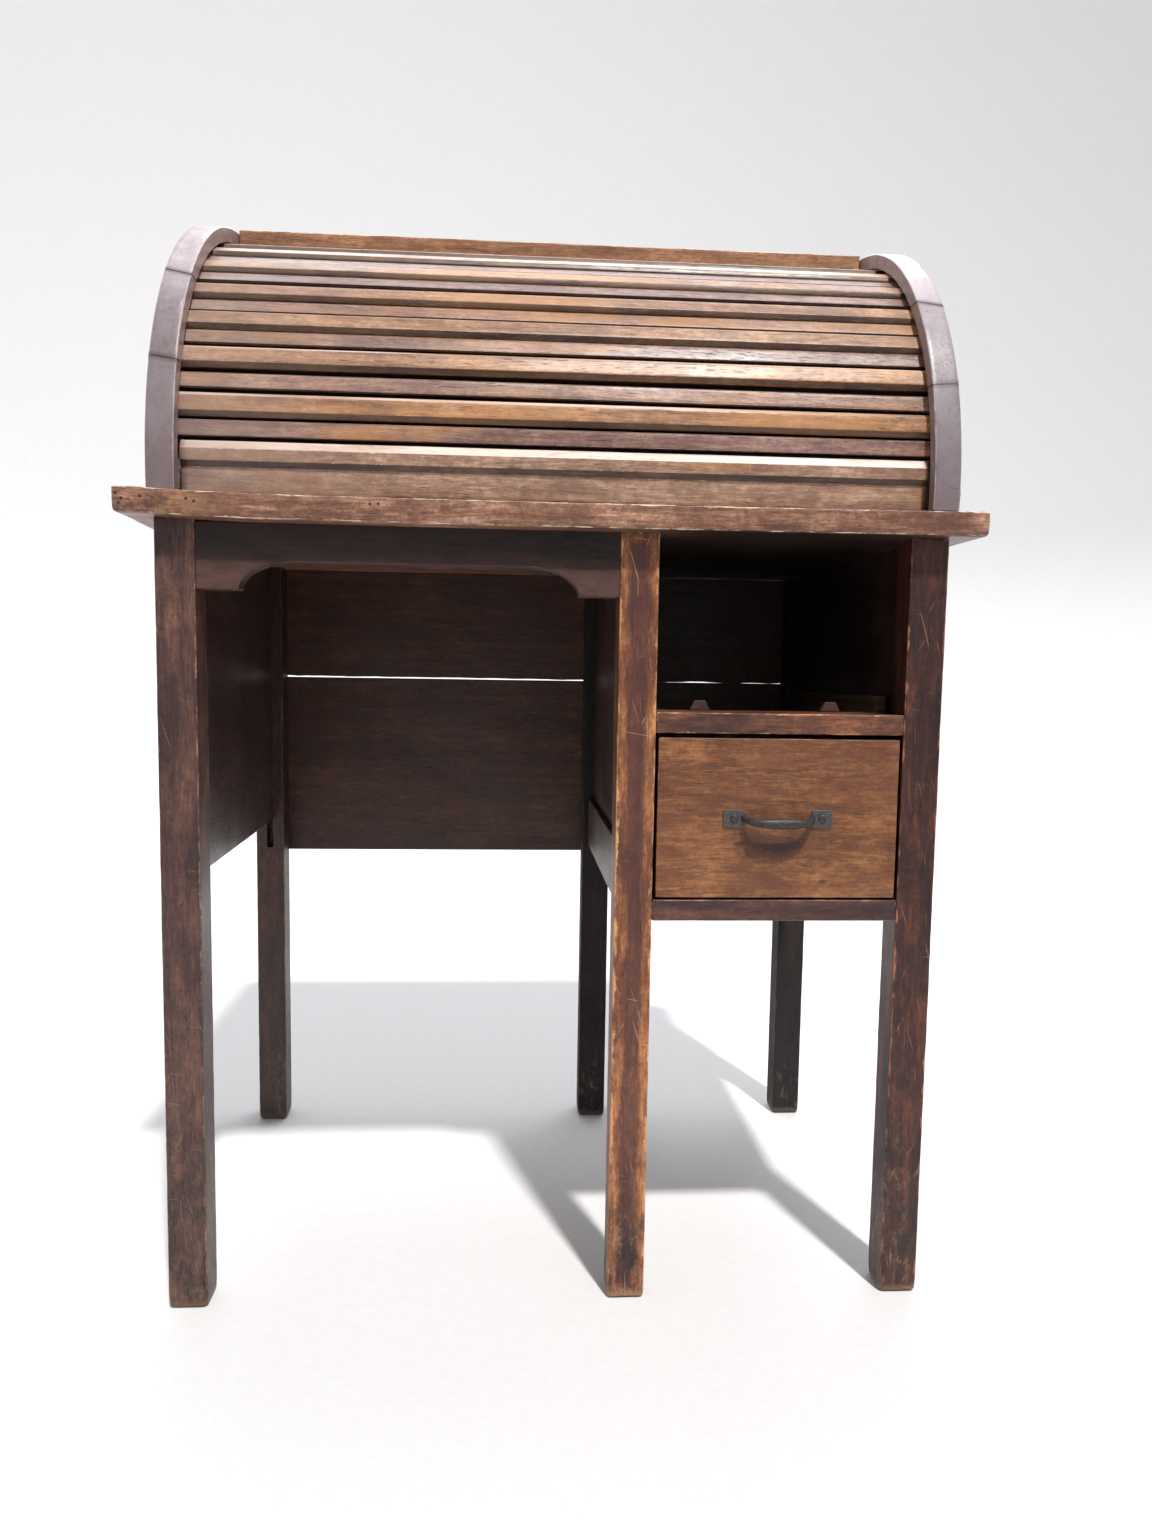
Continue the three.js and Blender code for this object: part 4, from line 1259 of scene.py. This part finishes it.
def bow_bar(middle, foot, height):
    sides, count = 16, 56
    points, centres = [], []
    for k in range(count + 1):
        t = -1 + 2 * k / count
        out = 1 - abs(t) ** 5
        centres.append(Vector((middle + t * BOW_END, foot - out * BOW_REACH, height - out * BOW_DROP)))
    for k, centre in enumerate(centres):
        ahead = (centres[min(k + 1, count)] - centres[max(k - 1, 0)]).normalized()
        side = ahead.cross(Vector((0, 0, 1))).normalized()
        up = side.cross(ahead)
        t = -1 + 2 * k / count
        r = BOW_THIN + (BOW_THICK - BOW_THIN) * (1 - t * t) ** 1.5
        for s in range(sides):
            a = 2 * math.pi * s / sides
            uneven = 1 + 0.05 * noise.noise(centre * 160 + Vector((math.cos(a), math.sin(a), 0)))
            points.append(centre + (side * math.cos(a) * 0.92 + up * math.sin(a)) * r * uneven)
    faces = tube_faces(count + 1, sides, capped=True)
    bar = as_piece("pull_bow", points, faces, {"inset": [2 * MM] * len(points)})
    face_outwards(bar)
    mark_lot(bar)
    return bar


def join_pieces(name, first, *others):
    with bpy.context.temp_override(active_object=first, selected_editable_objects=[first, *others]):
        bpy.ops.object.join()
    first.name = first.data.name = name
    return first


def screw_tree():
    """A screw head at each point, each turned its own way about the line it was driven along."""
    g = Growth("drive_screws", Screw="Object", Turn="Float", Seed="Int", Finish="Material")
    chance = g.node("FunctionNodeRandomValue", {"Seed": g.given["Seed"]}, out=1, data_type="FLOAT")
    return g.done(g.copies("Screw", g.turned((0, 1, 0), g.times(chance, g.given["Turn"]))))


SCREW_RADIUS, SCREW_HEIGHT, SCREW_SLOT = 4 * MM, 2 * MM, 0.9 * MM
SCREW_SHANK, SCREW_LENGTH = 1.8 * MM, 14 * MM


def screw_blank():
    """A round-head screw with its head towards the sitter, turned about Y."""
    profile = [(0, SCREW_LENGTH), (0.5 * SCREW_SHANK, SCREW_LENGTH - 2 * MM)]
    profile += [(SCREW_SHANK, SCREW_LENGTH - 5 * MM), (SCREW_SHANK, 0)]
    profile += [(SCREW_RADIUS, 0), (SCREW_RADIUS, -0.15 * SCREW_HEIGHT)]
    profile += [(SCREW_RADIUS * math.cos(a), -SCREW_HEIGHT * (0.15 + 0.85 * math.sin(a)))
                for a in (math.radians(15 * i) for i in range(1, 6))]
    profile.append((0, -SCREW_HEIGHT))
    sides = 28
    around = [2 * math.pi * s / sides for s in range(sides)]
    points = [(r * math.cos(a), y, r * math.sin(a)) for r, y in profile for a in around]
    blank = as_piece("screw_blank", points, tube_faces(len(profile), sides), {"inset": [MM] * len(points)})
    face_outwards(blank)
    slot = block("slot", (-2 * SCREW_RADIUS, -2 * SCREW_HEIGHT, -SCREW_SLOT / 2),
                 (2 * SCREW_RADIUS, -0.45 * SCREW_HEIGHT, SCREW_SLOT / 2))
    return carve(blank, slot)


def make_screws(look):
    names = ("handle_screw_left", "handle_screw_right")
    boxes = [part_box(n) for n in names]
    places = [((a.x + b.x) / 2, a.y + SCREW_HEIGHT, (a.z + b.z) / 2) for a, b in boxes]
    row = as_piece("handle_screws", places, [])
    blank = screw_blank()
    grow(screw_tree(), row, Screw=blank, Turn=2.4, Seed=5, Finish=look["iron"])
    bpy.data.objects.remove(blank)
    row.data.set_sharp_from_angle(angle=SHARP_ANGLE)
    stand_for(row, look["iron"], DRAWER, "iron", *names)


# ---------------------------------------------------------------- the whole desk

set_camera()
set_light()
set_stage()
looks = mix_finishes()
make_legs(looks)
make_panels_and_rails(looks)
make_apron(looks)
make_drawer_bay(looks)
make_desktop(looks)
make_case_sides(looks)
make_case_boards(looks)
make_slats(looks)
make_lift_rail(looks)
make_canvas(looks)
make_drawer(looks)
make_pull(looks)
make_screws(looks)
